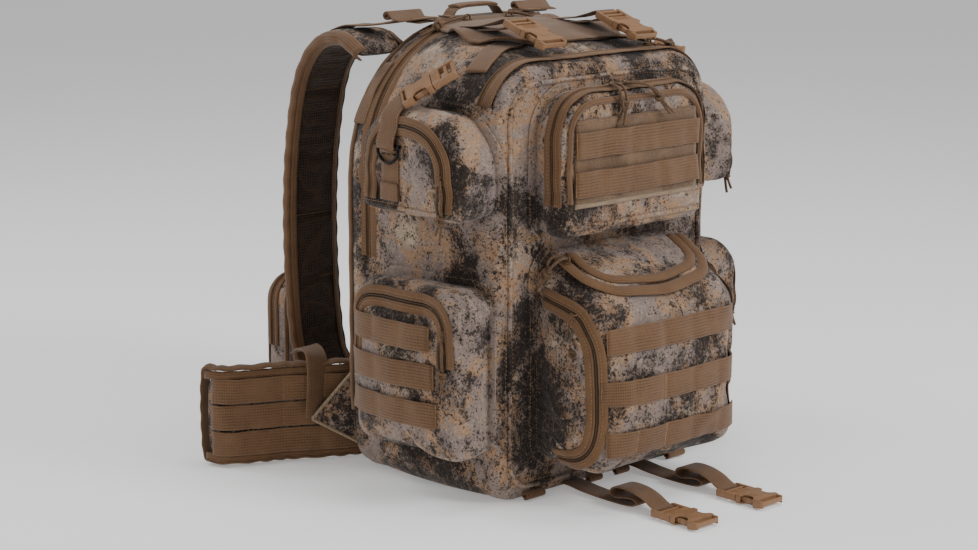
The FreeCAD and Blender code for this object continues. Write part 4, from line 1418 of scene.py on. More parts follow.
class SidePouch(SidedAssembly):
    """The square pouch low on one side, with three load rows and a zip round three edges."""

    def build(self) -> None:
        """Make the pouch."""
        s = self.sign
        name = f"side_pouch_{self.side}"
        inward = (-s, 0, 0)
        box = (-0.094, 0.058, 0.055, 0.218) if s > 0 else (-0.058, 0.094, 0.055, 0.218)
        bag = Bag((s * 0.160, 0, 0), (0, s, 0), (0, 0, 1), (s, 0, 0), box, (0.016, 0.026), 0.045, -0.022)

        def held(p: Vector) -> float:
            """Hold the seam at the pack, and the line of the slider's run."""
            at_run = abs(p.x) > 0.198 and abs(p.y + 0.080) < 0.008
            return 1.0 if abs(p.x) < 0.172 else 0.75 if at_run else 0.0

        skin = self.cloth(bag, name + "_cloth", 2.0 + s, (name,), held)
        zip_line = [Vector((s * 0.208, y, z)) for y, z in [(-0.080, 0.148), (-0.080, 0.165), (-0.080,
            0.186), (-0.074, 0.199), (-0.060, 0.205), (-0.02, 0.206), (0.024, 0.205), (0.038, 0.199),
            (0.044, 0.186), (0.044, 0.13)]]
        Zip(self.kit, name + "_zip", 0.021).build(skin.lay(through(zip_line), inward))
        shape = Shape()
        for k in range(3):
            level = 0.0987 + k * 0.038
            line = [(s * 0.207, -0.069 + 0.004 * k, level), (s * 0.207, 0.050, level)]
            LoadRow(pitch=0.040).build(self.kit, shape, skin.lay(line, inward, 0.0004), first=0.036)
        self.finish(shape, name + "_rows", replaces=("webbing_rows",) if s < 0 else ())
        self.flange(bag, name + "_flange", inward, -0.004, 0.0005, 0.011, 0.0035)


class SidePocket(SidedAssembly):
    """The domed pocket high on one side, with its zip and its foot seam."""

    def build(self) -> None:
        """Make the pocket."""
        s = self.sign
        name = f"side_pocket_{self.side}"
        inward = (-s, 0, 0)
        box = (-0.090, 0.052, 0.290, 0.388) if s > 0 else (-0.052, 0.090, 0.290, 0.388)
        bag = Bag((s * 0.158, 0, 0), (0, s, 0), (0, 0, 1), (s, 0, 0), box, (0.012, 0.050), 0.042, -0.026,
            bulge=0.0008)

        def held(p: Vector) -> float:
            """Hold the seam at the pack, the foot, and the face under the strap."""
            under_strap = p.z < 0.298 or abs(p.y - 0.002) < 0.018
            return 1.0 if abs(p.x) < 0.168 else 0.9 if abs(p.x) > 0.19 and under_strap else 0.0

        skin = self.cloth(bag, name + "_cloth", 8.0 + s, (name,), held)
        line = [Vector((s * 0.203, y, z)) for y, z in [(-0.074, 0.298), (-0.074, 0.335), (-0.070, 0.352),
            (-0.058, 0.367), (-0.038, 0.374), (-0.012, 0.376), (0.010, 0.371), (0.026, 0.358), (0.034,
            0.340), (0.036, 0.300)]]
        Zip(self.kit, name + "_zip", 0.019).build(skin.lay(through(line), inward))
        foot = skin.lay([(s * 0.202, -0.086, 0.2945), (s * 0.202, 0.048, 0.2945)], inward)
        self.tape(name + "_foot", [foot], 0.006, 0.0014, 0.0012, "camo_cloth", edge=0.0045)
        self.flange(bag, name + "_flange", inward, -0.004, 0.0005, 0.010, 0.003)


class UpperPocket(Assembly):
    """The upper front pocket: a zip over its top and a loop-pile panel with two load rows."""

    bag = Bag((0, -0.095, 0), (1, 0, 0), (0, 0, 1), (0, -1, 0), (-0.100, 0.100, 0.268, 0.405), (0.015,
        0.040), 0.038, -0.012, 0.006, 0.003)

    def build(self) -> None:
        """Make the pocket."""
        skin = self.cloth(self.bag, "upper_pocket_cloth", 5.0, ("upper_pocket",), lambda p: 1.0 if p.y >
            -0.104 else 0.25)

        def towards(p: Vector) -> Vector:
            """Press onto the pocket's side walls and top."""
            x = math.copysign(max(abs(p.x) - 0.055, 0.0), p.x)
            return Vector((-x, 0, -max(p.z - 0.355, 0.0))) + Vector((0, 0, -1e-4))

        course = skin.lay(self.bag.line(0.026, -0.002, 0.296), towards, 0.0003)
        Zip(self.kit, "upper_pocket_zip", 0.021).build(course)
        rim = skin.lay(self.bag.line(0.038, 0.007, 0.300), (0, 1, 0), 0.0002)
        self.tape("upper_pocket_rim", [rim], 0.0065, 0.0016, 0.0016)
        self.panel(skin)
        self.flange(self.bag, "upper_pocket_flange", (0, 1, 0), -0.005, 0.0004, 0.012, 0.0042)
        foot = skin.level(0.094, -0.14, 0.277)
        self.tape("upper_pocket_foot", [foot], 0.0055, 0.0014, 0.001, "camo_cloth")

    def panel(self, skin: Skin) -> None:
        """The loop-pile panel and its rows of webbing."""
        courses = [skin.level(0.086, -0.14, z) for z in (0.300 + 0.082 * k / 14 for k in range(15))]
        low, high = ([[p + f * lift for p, f in zip(c.points, c.facing)] for c in courses] for lift in
            (-0.0012, 0.0018))
        shape = Shape()
        shape.loft([[*a[::-1], *b] for a, b in zip(low, high)])
        self.finish(shape, "loop_panel", "loop_pile", replaces=("pocket_field",))
        rows = Shape()
        for level in (0.3195, 0.3575):
            row = skin.level(0.086, -0.14, level, 0.0019)
            LoadRow(pitch=0.040).build(self.kit, rows, row, first=0.034)
        self.finish(rows, "upper_pocket_rows")
        for level in (0.3025, 0.3795):
            line = skin.level(0.085, -0.14, level, 0.0021)
            self.kit.stitch(line, 0.0034)
        edge = skin.level(0.087, -0.14, 0.2985, 0.0008)
        self.tape("loop_panel_edge", [edge], 0.005, 0.0014, 0.001, "edge_line")


class LowerPouch(Assembly):
    """The large lower pouch: sloped top with a zipped lid, side zips and three load rows."""

    bag = Bag((0, -0.095, 0), (1, 0, 0), (0, 0, 1), (0, -1, 0), (-0.100, 0.100, 0.040, 0.252), (0.020,
        0.030), 0.088, -0.012, 0.014, 0.005, 240, 0.046)
    slope = math.atan2(0.046, 0.088)
    lid_box = (-0.078, 0.078, -0.080, -0.016)

    def on_slope(self, x: float, y: float, z: float = 0.0) -> Vector:
        """A place on the sloped top, from its own axes."""
        c, s = math.cos(self.slope), math.sin(self.slope)
        return Vector((x, -0.095 + y * c - z * s, 0.252 + y * s + z * c))

    def build(self) -> None:
        """Make the pouch."""
        obj = self.bag.build("lower_pouch_cloth", self.kit.wardrobe["camo_cloth"], 6.0)
        top = Vector((0, -math.sin(self.slope), math.cos(self.slope)))
        hinge = self.on_slope(0, 0)
        self.kit.inflate(obj, lambda p: 1.0 if p.y > -0.108 or (p - hinge).dot(top) > -0.012 else 0.0)
        self.open_top(obj)
        self.kit.ride_as(obj, "camo_cloth", replaces=("lower_pouch", "pouch_top"))
        skin = Skin(obj)
        self.lid(top)
        self.side_zips(skin)
        self.front(skin)
        self.flange(self.bag, "lower_pouch_flange", (0, 1, 0), -0.005, 0.0004, 0.012, 0.0042)

    def open_top(self, obj: Object) -> None:
        """Cut the room and the opening under the lid out of the pouch."""
        left, right, front, back = self.lid_box
        cutter = Shape()
        pts = outline(left + 0.002, right - 0.002, front + 0.002, back - 0.002, 0.016, 0.003, 60)
        cutter.loft([[self.on_slope(x, y, z) for x, y in pts] for z in (0.03, -0.014)])
        room = Shape()
        pts = outline(-0.090, 0.090, -0.080, 0.006, 0.012, 0.004, 60)
        low = [Vector((x, -0.095 + y, 0.052)) for x, y in pts]
        high = [self.on_slope(x, min(y, -0.001) / math.cos(self.slope), -0.010) for x, y in pts]
        room.loft([low, high])
        for part, label in ((room, "room"), (cutter, "mouth")):
            tool = part.object(label, *self.look("dark_lining"))
            cut = obj.modifiers.new(label, "BOOLEAN")
            cut.operation = "DIFFERENCE"
            cut.solver = "EXACT"
            cut.object = tool
            old = obj.data
            obj.data = baked(obj)
            obj.modifiers.clear()
            bpy.data.meshes.remove(old)
            bpy.data.objects.remove(tool)

    def lid(self, top: Vector) -> None:
        """The lid, its half of the zip, and the half that stays on the pouch."""
        left, right, front, back = self.lid_box
        edge_line = outline(left, right, front, back, 0.028, 0.004, 140)
        mid = (front + back) / 2
        rings = [[self.on_slope(x, y, 0.0012) for x, y in edge_line]]
        for k in range(12):
            share = 1 - k / 12
            dome = 0.0042 + 0.0035 * (1 - share ** 2)
            rings.append([self.on_slope(x * share, mid + (y - mid) * share, dome + 0.0012 *
                rumple(self.on_slope(x * share, y * share), 9.0)) for x, y in edge_line])
        shape = Shape()
        shape.loft(rings)
        self.finish(shape, "pouch_lid_cloth", "camo_cloth", "lid", ("pouch_lid",))
        path = [(left + 0.001, back - 0.004), (left + 0.001, -0.036), (left + 0.005, -0.056), (left + 0.020,
            -0.071), (left + 0.044, front + 0.003), (0.0, front - 0.002), (right - 0.044, front + 0.003),
            (right - 0.020, -0.071), (right - 0.005, -0.056), (right - 0.001, -0.036), (right - 0.001, back
            - 0.004)]
        edge = Course(through([self.on_slope(x, y, 0.0012) for x, y in path]), top)
        self.tape("lid_piping", [edge.shifted(-0.0052, 0.0036)], 0.012, 0.0016, 0.0024, look="zip_tape",
            body="lid", edge=0.0040)
        self.tape("lid_frame", [edge.shifted(0.0088, 0.0004)], 0.014, 0.0018, 0.0030, look="zip_tape",
            edge=0.0050)
        gap = edge.shifted(0.0012, 0.0012)
        # a dark strip under the lid's teeth: painted shade in the zip's gap
        self.tape("lid_gap", [gap], 0.0040, 0.0008, look="dark_lining")
        self.kit.rows.row(Small.TOOTH, gap, 0.0016, PACK, 0.0012, across=True)

    def side_zips(self, skin: Skin) -> None:
        """The zips down the pouch's two side walls, near its front."""
        for side, s in SIDES.items():
            line = [(s * x, y, z) for x, y, z in [(0.104, -0.110, 0.208), (0.104, -0.138, 0.203), (0.104,
                -0.155, 0.197), (0.103, -0.168, 0.184), (0.101, -0.178, 0.160), (0.101, -0.180, 0.110),
                (0.101, -0.179, 0.078), (0.103, -0.170, 0.060), (0.104, -0.152, 0.052), (0.104, -0.126,
                0.050)]]

            def towards(p: Vector, s: int = s) -> Vector:
                """Press onto the wall, and onto the corner near the front."""
                turn = min(max((-0.158 - p.y) / 0.02, 0.0), 1.0)
                return Vector((-s, 0.75 * turn, 0))

            course = skin.lay(through(line), towards, 0.0003)
            Zip(self.kit, f"lower_pouch_zip_{side}", 0.022).build(course)

    def front(self, skin: Skin) -> None:
        """The three load rows across the front."""
        shape = Shape()
        for k in range(3):
            level = 0.0707 + k * 0.0508
            row = skin.level(0.090, -0.19, level, 0.0004)
            LoadRow(pitch=0.040).build(self.kit, shape, row, first=0.034)
        self.finish(shape, "lower_pouch_rows")


# ---- straps, belt and back


def two_faced(obj: Object, course: Course) -> None:
    """Give a pad's faces its first material on its outer side and its second on its inner."""
    for polygon in obj.data.polygons:
        near = min(range(len(course.points)), key=lambda i: (course.points[i] -
            polygon.center).length_squared)
        out = (polygon.center - course.points[near]).dot(course.facing[near]) > 0
        polygon.material_index = 0 if out else 1


@dataclass(frozen=True)
class PadForm:
    """A long quilted pad: its width, thickness, and where it is stitched across."""

    wide: float
    thick: float
    folds: tuple[float, ...] = ()
    fold_wide: float = 0.006

    def rings(self, course: Course, seed: float) -> list[list[Vector]]:
        """Cross-sections along a course."""
        total, run, made = course.length(), 0.0, []
        last = course.points[0]
        for p, a, f in zip(course.points, course.across, course.facing):
            run += (p - last).length
            last = p
            share = run / total
            pinch = sum(math.exp(-(((share - s) * total) / self.fold_wide) ** 2) for s in self.folds)
            end = min(1.0, 0.45 + min(share, 1 - share) * total / 0.02)
            t = self.thick / 2 * (1 - 0.5 * min(pinch, 1.0)) * end
            ring = []
            for k in range(32):
                turn = 2 * math.pi * k / 32
                c, s = math.cos(turn), math.sin(turn)
                x = math.copysign(abs(c) ** 0.55, c) * (self.wide / 2 - 0.003)
                z = math.copysign(abs(s) ** 0.75, s) * t
                z += 0.0009 * rumple(p + a * x, seed, 1.6) * (1 if s > 0 else -1)
                ring.append(p + a * x + f * z)
            made.append(ring)
        return made


class ShoulderStrap(SidedAssembly):
    """A curved padded strap: camouflage outside, spacer mesh inside, bound edges."""

    profile = [(0.115, 0.430), (0.146, 0.444), (0.184, 0.436), (0.214, 0.398), (0.231, 0.330), (0.238,
        0.250), (0.236, 0.165), (0.228, 0.105), (0.216, 0.080)]
    form = PadForm(0.068, 0.014, (0.30, 0.47, 0.62, 0.78))

    def build(self) -> None:
        """Make the strap."""
        x = self.sign * 0.116
        name = f"shoulder_strap_{self.side}"
        path = through([(x, y, z) for y, z in self.profile], 0.005)
        course = edge_on(path, -1)
        shape = Shape()
        shape.loft(self.form.rings(course, 4.0))
        obj = shape.object(name + "_pad", *self.look("camo_cloth", "spacer_mesh"))
        self.kit.inflate(obj, lambda p: 1.0 if abs(p.x - x) > 0.027 else 0.15)
        two_faced(obj, course)
        self.kit.ride_as(obj, "spacer_mesh", replaces=(name,))
        shape = Shape()
        for s in (-1, 1):
            rim = [p + Vector((s * 0.0318, 0, 0)) for p in course.points]
            rim = [p + Vector((0.0006 * math.sin(i * 1.3), 0, 0)) for i, p in enumerate(rim)]
            shape.ribbon(Course(rim, (s, 0, 0)), 0.0105, 0.0016, crown=0.0022)
            for lift in (-1, 1):
                face = [f * lift for f in course.facing]
                spots = [p + Vector((s * 0.0285, 0, 0)) + f * 0.0040 for p, f in zip(course.points, face)]
                border = Course(spots, [(f * 0.85 + Vector((s * 0.5, 0, 0))).normalized() for f in face])
                shape.ribbon(border, 0.0105, 0.0014, crown=0.0012)
                self.kit.stitch(border.shifted(-0.0035 * s * lift, 0.0018), 0.0036)
        for share in self.form.folds:
            i = round(share * (len(course.points) - 1))
            p, f = course.points[i], course.facing[i]
            line = evenly([p - f * 0.0045 + Vector((dx, 0, 0)) for dx in (-0.026, 0.026)], 0.004)
            self.kit.stitch(Course(line, -f), 0.0034)
        self.finish(shape, name + "_binding", "coyote_binding")


class StrapPouch(Assembly):
    """The small pouch on the left shoulder strap."""

    bag = Bag((-0.115, 0.245, 0), (-1, 0, 0), (0, 0, 1), (0, 1, 0), (-0.029, 0.029, 0.064, 0.174), (0.010,
        0.024), 0.036, -0.004, 0.008, 0.003, 120)

    def build(self) -> None:
        """Make the pouch."""
        skin = self.cloth(self.bag, "strap_pouch_cloth", 12.0, ("strap_pouch",))

        def towards(p: Vector) -> Vector:
            """Press onto the pouch's side walls and top."""
            return Vector((-(p.x + 0.115) * 1.2, 0, -max(p.z - 0.145, 0.0) - 1e-4))

        course = skin.lay(self.bag.line(0.022, -0.002, 0.100), towards, 0.0002)
        Zip(self.kit, "strap_pouch_zip", 0.018).build(course)
        rims = [skin.lay(self.bag.line(0.036, 0.004, 0.070), (0, -1, 0), 0.0002)]
        self.tape("strap_pouch_rim", rims, 0.006, 0.0014, 0.0016)
        back = skin.lay(self.bag.line(0.001, -0.001, 0.066), towards)
        self.tape("strap_pouch_back", [back], 0.006, 0.0014, 0.0016)


class BeltWing(SidedAssembly):
    """A hip belt wing: bound padded panel with three load rows on its outer face."""

    profile = [(0.114, 0.134), (0.140, 0.140), (0.172, 0.156), (0.206, 0.176), (0.238, 0.190), (0.262,
        0.204), (0.268, 0.222)]
    form = PadForm(0.107, 0.012)

    def build(self) -> None:
        """Make the wing."""
        s = self.sign
        body = f"belt_{self.side}"
        name = f"belt_wing_{self.side}"
        path = through([(s * x, y, 0.0535) for x, y in self.profile], 0.005)
        plain = Course(path, (0, 0, 1))
        course = Course(path, [Vector((s * w.y, -s * w.x, 0)) for w in plain.ways])
        if course.facing[2].y > 0:
            course = Course(path, [-f for f in course.facing])
        shape = Shape()
        shape.loft(self.form.rings(course, 6.0))
        obj = shape.object(name + "_pad", *self.look("camo_cloth", "spacer_mesh"))
        self.kit.inflate(obj, lambda p: 1.0 if abs(p.z - 0.0535) > 0.046 or abs(p.x) < 0.120 else 0.25)
        two_faced(obj, course)
        self.kit.ride_as(obj, "camo_cloth", body, (name,))
        skin = Skin(obj)
        rows = Shape()
        for level in (0.0255, 0.0535, 0.0815):
            line = [p + f * 0.010 + Vector((0, 0, level - 0.0535)) for p, f in zip(course.points[2:-2],
                course.facing[2:-2])]
            row = skin.lay(line, lambda p: self.near_way(course, p), 0.0004)
            LoadRow(pitch=0.038, wide=0.0262).build(self.kit, rows, row, first=0.018, body=body)
        self.finish(rows, name + "_rows", body=body)
        self.binding(course, name, body)

    @staticmethod
    def near_way(course: Course, p: Vector) -> Vector:
        """The way into the pad nearest a place."""
        i = min(range(len(course.points)), key=lambda k: (course.points[k].xy - p.xy).length_squared)
        return -course.facing[i]

    def binding(self, course: Course, name: str, body: str) -> None:
        """Puckered binding round the top, the tip and the foot."""
        shape = Shape()
        top = [p + Vector((0, 0, 0.0500)) for p in course.points]
        foot = [p - Vector((0, 0, 0.0478)) for p in course.points]
        tip = course.points[-1]
        way = course.ways[-1]
        bend = []
        for k in range(1, 12):
            turn = math.pi * k / 12
            bend.append(tip + way * (0.004 * math.sin(turn)) + Vector((0, 0, 0.0489 * math.cos(turn) +
                0.0011)))
        line = evenly([*top, *bend, *foot[::-1]], 0.003)
        rnd = random.Random(5)
        waves = []
        for i, p in enumerate(line):
            wave = 0.0006 * math.sin(i * 0.95 + 1.5 * math.sin(i * 0.21)) + rnd.uniform(-1e-4, 1e-4)
            waves.append(p + Vector((0, 0, wave if p.z > 0.0535 else max(-wave, -0.0008))))
        facing = []
        for p in waves:
            near = min(course.points, key=lambda q: (q.xy - p.xy).length_squared)
            out = p - near + (way * 0.03 if (p - tip).xy.length < 0.004 and abs(p.z - 0.0535) < 0.046 else
                Vector())
            facing.append(out.normalized())
        edge = Course(waves, facing)
        shape.ribbon(edge, lambda run: 0.0150 + 0.0012 * math.sin(run * 310), 0.0018, crown=0.0024)
        self.finish(shape, name + "_binding", "coyote_binding", body)
        for shift in (0.0415, -0.0415):
            line = [p + f * 0.0062 + Vector((0, 0, shift)) for p, f in zip(course.points, course.facing)]
            self.kit.stitch(Course(line, course.facing), 0.0034, body)
            border = Course([p + f * 0.0048 + Vector((0, 0, shift * 1.07)) for p, f in zip(course.points,
                course.facing)], course.facing)
            flat = Shape()
            flat.ribbon(border, 0.0095, 0.0013, crown=0.0010)
            self.finish(flat, name + ("_border_top" if shift > 0 else "_border_foot"), "coyote_binding",
                body)


class BackPanel(Assembly):
    """Two mesh pads on the back, the stiffener sheet and the stays behind them."""

    def build(self) -> None:
        """Make the pads and finish the hidden frame."""
        for i, (side, s) in enumerate(SIDES.items()):
            edges = (0.018, 0.112) if s > 0 else (-0.112, -0.018)
            bag = Bag((0, 0.112, 0), (-1, 0, 0), (0, 0, 1), (0, 1, 0), (*sorted(-e for e in edges), 0.040,
                0.372), (0.024, 0.024), 0.013, -0.004, 0.007, 0.003, 160)
            obj = bag.build(f"back_pad_{side}", self.kit.wardrobe["spacer_mesh"], 20.0 + i)
            for vertex in obj.data.vertices:
                p = vertex.co
                for level in (0.123, 0.206, 0.289):
                    p.y -= 0.0065 * math.exp(-((p.z - level) / 0.0055) ** 2) * (p.y > 0.118)
            self.kit.ride_as(obj, "spacer_mesh", replaces=("back_pads",) if i == 0 else ())
            skin = Skin(obj)
            rim = skin.lay(bag.line(0.012, 0.004), (0, -1, 0))
            self.tape(f"back_pad_rim_{side}", [rim], 0.009, 0.0013, 0.0014, edge=0.003)
        for node, look in (("frame_sheet", "stiffener_sheet"), ("frame_stays", "stay_bar"), ("d_ring_left",
                "black_wire"), ("d_ring_right", "black_wire")):
            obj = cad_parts[node]
            obj.data.materials.clear()
            obj.data.materials.append(self.kit.wardrobe[look])
            for polygon in obj.data.polygons:
                polygon.material_index = 0
                polygon.use_smooth = node.startswith("d_ring")


class Gussets(Assembly):
    """Triangular cloth gussets that hold the foot of each shoulder strap, with their webbing."""

    def build(self) -> None:
        """Make both gussets."""
        for side, s in SIDES.items():
            corners = [Vector((s * 0.152, 0.110, 0.112)), Vector((s * 0.152, 0.110, 0.022)), Vector((s *
                0.190, 0.147, 0.049))]
            edge = evenly(corners, 0.004, closed=True)
            hub = sum(corners, Vector()) / 3
            out = (corners[1] - corners[0]).cross(corners[2] - corners[0]).normalized()
            out = out if out.y < 0 else -out
            rings = []
            for share in [k / 10 for k in range(1, 11)]:
                rings.append([hub + (p - hub) * share - out * (0.0012 + 0.002 * (1 - share ** 2)) for p in
                    edge])
            for share in [k / 10 for k in range(10, 0, -1)]:
                rings.append([hub + (p - hub) * share + out * (0.0012 + 0.003 * (1 - share ** 2) + 0.0012 *
                    rumple(p * share, 3.0)) for p in edge])
            shape = Shape()
            shape.loft(rings)
            self.finish(shape, f"gusset_{side}_cloth", "camo_cloth", replaces=("strap_gussets",) if s < 0
                else ())
            sides = [Course(evenly([corners[0], corners[2]], 0.005), out), Course(evenly([corners[1],
                corners[2]], 0.005), out)]
            self.tape(f"gusset_{side}_edge", sides, 0.0036, 0.0022, 0.0012, "edge_line")
            path = through([(s * 0.186, 0.1475, 0.050), (s * 0.184, 0.148, 0.075), (s * 0.181, 0.150,
                0.100), (s * 0.176, 0.158, 0.113), (s * 0.164, 0.186, 0.114), (s * 0.148, 0.216, 0.102)])
            facing = [Vector((0, -1, 0.05)).lerp(Vector((s * 0.15, 0.1, 1)), min(1.0, max(0.0, (k /
                len(path) - 0.3) * 2.2))) for k in range(len(path))]
            self.tape(f"gusset_{side}_webbing", [Course(path, facing)], 0.0254, 0.0018,
                look="coyote_webbing", edge=0.0108)


# ---- top of the pack


class TopHardware(Assembly):
    """Webbing on the top and sides: flap, yoke, rolled strap ends and the straps of the buckles."""

    def build(self) -> None:
        """Make everything on the top."""
        self.flap()
        self.yoke()
        self.lashes()
        self.side_straps()
        self.low_straps()
        self.tab()

    def flap(self) -> None:
        """The panel over the middle of the top; its free side edges lift in a wave."""
        skin = self.kit.skins["body"]
        stations = [(-0.040, 0.070), (-0.034, 0.080), (-0.02, 0.090), (0.0, 0.097), (0.02, 0.094), (0.04,
            0.086), (0.06, 0.077), (0.078, 0.070), (0.090, 0.066)]
        rows = through([(half, y, 0) for y, half in stations], 0.005)
        low, high = [], []
        for row in rows:
            course = skin.lay([(-row.x, row.y, 0.47), (row.x, row.y, 0.47)], (0, 0, -1), 0.0, row.x / 20)
            n = len(course.points) - 1
            under, over = [], []
            for k, (p, f) in enumerate(zip(course.points, course.facing)):
                x = 2 * k / n - 1
                wave = 0.0035 + 0.0045 * math.sin(row.y * 95 + 1.4 * x)
                rise = 0.0016 + max(0.0, abs(x) - 0.72) / 0.28 * max(wave, 0.0)
                rise += 0.0012 * (0.5 + 0.5 * rumple(p, 15.0, 1.4))
                under.append(p + f * rise)
                over.append(p + f * (rise + 0.0016))
            low.append(under)
            high.append(over)
        count = min(len(r) for r in low)
        low = [r[:count] for r in low]
        high = [r[:count] for r in high]
        shape = Shape()
        shape.loft([[*a[::-1], *b] for a, b in zip(low, high)], [[(q.x, q.y) for q in (*a[::-1], *b)] for a,
            b in zip(low, high)])
        obj = self.finish(shape, "top_flap_cloth", replaces=("top_flap",))
        for row in (high[2], high[-3]):
            self.kit.stitch(Course([p + Vector((0, 0, 0.0002)) for p in row], (0, 0, 1)), 0.0034)
        for pick in (2, count - 3):
            line = [r[pick] + Vector((0, 0, 0.0002)) for r in high]
            self.kit.stitch(Course(line, (0, 0, 1)), 0.0034)

    def yoke(self) -> None:
        """The webbing across the back of the top, the load straps and their rolled ends."""
        line = through([(-0.084, 0.104, 0.4588), (-0.05, 0.1035, 0.4602), (0, 0.1035, 0.4604), (0.05,
            0.1035, 0.4602), (0.084, 0.104, 0.4588)])
        self.tape("yoke_webbing", [Course(line, (0, 0, 1))], 0.022, 0.0017, look="coyote_webbing",
            replaces=("yoke",), edge=0.009)
        straps = []
        rolls = Shape()
        for s in SIDES.values():
            path = through([(s * 0.062, 0.100, 0.4632), (s * 0.084, 0.105, 0.4622), (s * 0.104, 0.116,
                0.4592), (s * 0.115, 0.136, 0.4560), (s * 0.117, 0.160, 0.4545), (s * 0.117, 0.182,
                0.4480)])
            straps.append(Course(path, (0, 0.05, 1)))
            coil = rolled(s * 0.090, 0.112, 0.4676, 4.6, 0.0018, 0.0026, 0.8, 45)
            coil += [Vector((s * 0.090, 0.104, 0.4642)), Vector((s * 0.089, 0.094, 0.4626))]
            rolls.ribbon(edge_on(coil), 0.046, 0.0013)
        self.tape("load_straps", straps, 0.0254, 0.0017, look="coyote_webbing", edge=0.0108)
        self.finish(rolls, "rolled_ends")

    def lashes(self) -> None:
        """Straps from under the flap to the two front buckles."""
        courses = []
        for s in SIDES.values():
            x = s * 0.065
            path = through([(x, 0.040, 0.4585), (x, 0.012, 0.4612), (x, -0.010, 0.4665), (x, -0.0235,
                0.4705), (x, -0.0300, 0.4700), (x, -0.0300, 0.4655), (x, -0.0240, 0.4635), (x, -0.008,
                0.4600), (x, 0.012, 0.4585)], 0.002)
            courses.append(edge_on(path))
        self.tape("lash_straps", courses, 0.0240, 0.0014, look="coyote_webbing")
        tape = []
        skin = self.kit.skins["body"]
        for s in SIDES.values():
            line = through([(s * 0.070, -0.024, 0.46), (s * 0.092, -0.030, 0.45), (s * 0.116, -0.038,
                0.445), (s * 0.134, -0.043, 0.43)])
            tape.append(skin.lay(line, (-s * 0.5, 0, -1), 0.0008))
        self.tape("top_side_straps", tape, 0.0254, 0.0017, look="coyote_webbing", edge=0.0108,
            replaces=("top_webbing",))

    def side_straps(self) -> None:
        """Straps from the side buckles over the side pockets, with the loop of each D-ring."""
        courses, ends = [], []
        for s in SIDES.values():
            path = through([(s * 0.176, -0.010, 0.4050), (s * 0.184, -0.004, 0.4000), (s * 0.193, 0.001,
                0.3940), (s * 0.2010, 0.002, 0.3860), (s * 0.2030, 0.002, 0.3740), (s * 0.2072, 0.002,
                0.3640), (s * 0.2086, 0.002, 0.3560), (s * 0.2060, 0.002, 0.3500), (s * 0.2022, 0.002,
                0.3440), (s * 0.2020, 0.002, 0.3250), (s * 0.2018, 0.002, 0.3020)], 0.003)
            plain = Course(path, (0, 1, 0))
            facing = [w.cross(Vector((0, 1, 0))) for w in plain.ways]
            facing = [f if f.x * s > 0 or f.z > 0.5 else -f for f in facing]
            courses.append(Course(path, facing))
            ends.append(Course(evenly([Vector((s * 0.2030, 0.002, 0.3190)), Vector((s * 0.2028, 0.002,
                0.3020))], 0.003), (s, 0, 0)))
        self.tape("side_pocket_straps", courses, 0.0254, 0.0016, look="coyote_webbing", edge=0.0112)
        self.tape("side_pocket_strap_ends", ends, 0.0262, 0.0026, look="coyote_webbing", edge=0.0108)

    def low_straps(self) -> None:
        """Straps from under the base, folded back on themselves into the lower buckles."""
        courses, rolls = [], Shape()
        for s in SIDES.values():
            x = s * 0.048
            path = through([(x, -0.080, 0.0035), (x, -0.100, 0.0050), (x, -0.122, 0.0030), (x, -0.150,
                0.0020), (x, -0.176, 0.0022), (x, -0.193, 0.0040), (x, -0.198, 0.0085), (x, -0.192, 0.0120),
                (x, -0.180, 0.0112), (x, -0.170, 0.0092), (x, -0.163, 0.0110), (x, -0.164, 0.0160), (x,
                -0.174, 0.0186), (x, -0.190, 0.0180), (x, -0.205, 0.0140), (x, -0.216, 0.0085), (x, -0.224,
                0.0062)], 0.0022)
            courses.append(edge_on(path))
            for hub_x, hub_y, wide in ((s * 0.104, -0.098, 0.0254), (s * 0.020, -0.100, 0.018)):
                coil = rolled(hub_x, hub_y, 0.0052, 3.6, 0.0012, 0.0030, 0.85, 35)
                rolls.ribbon(edge_on(coil), wide, 0.0011)
        self.tape("low_lash_straps", courses, 0.0254, 0.0015, look="coyote_webbing",
            replaces=("low_lash_webbing",))
        self.finish(rolls, "base_rolls")

    def tab(self) -> None:
        """The short tab behind the main zip on each side."""
        skin = self.kit.skins["body"]
        courses = []
        for s in SIDES.values():
            line = [(s * 0.128, 0.098, 0.424), (s * 0.146, 0.100, 0.392), (s * 0.157, 0.101, 0.362)]
            courses.append(skin.lay(through(line), (-s, 0, -0.45), 0.0004))
        self.tape("rear_tabs", courses, 0.021, 0.0018, look="coyote_webbing", edge=0.0085)


class Handle(Assembly):
    """The flat grab handle, folded to a double strap in its middle."""

    def build(self) -> None:
        """Make the handle."""
        line = through([(-0.042, 0.1035, 0.4626), (-0.035, 0.1035, 0.4626), (-0.026, 0.1035, 0.4702), (0.0,
            0.1035, 0.4716), (0.026, 0.1035, 0.4702), (0.035, 0.1035, 0.4626), (0.042, 0.1035, 0.4626)],
            0.002)
        course = Course(line, (0, 0, 1))
        shape = Shape()
        shape.ribbon(course, 0.0170, 0.0016)
        shape.ribbon(course.part(0.2, 0.8).shifted(0, 0.0016), 0.0176, 0.0018, crown=0.0014)
        for side in (-1, 1):
            self.kit.stitch(course.part(0.2, 0.8).shifted(side * 0.0066, 0.0038), 0.0032, "handle")
        self.finish(shape, "grab_handle_webbing", body="handle", replaces=("grab_handle",))


# ---- buckles, sliders and cords


def mm(*pairs: tuple[float, float]) -> list[tuple[float, float]]:
    """Outline points given in millimetres."""
    return [(x / 1000, y / 1000) for x, y in pairs]


def mirrored(*pairs: tuple[float, float]) -> list[tuple[float, float]]:
    """An outline given by its right half from foot to top, in millimetres."""
    return mm(*pairs, *[(-x, y) for x, y in reversed(pairs)])


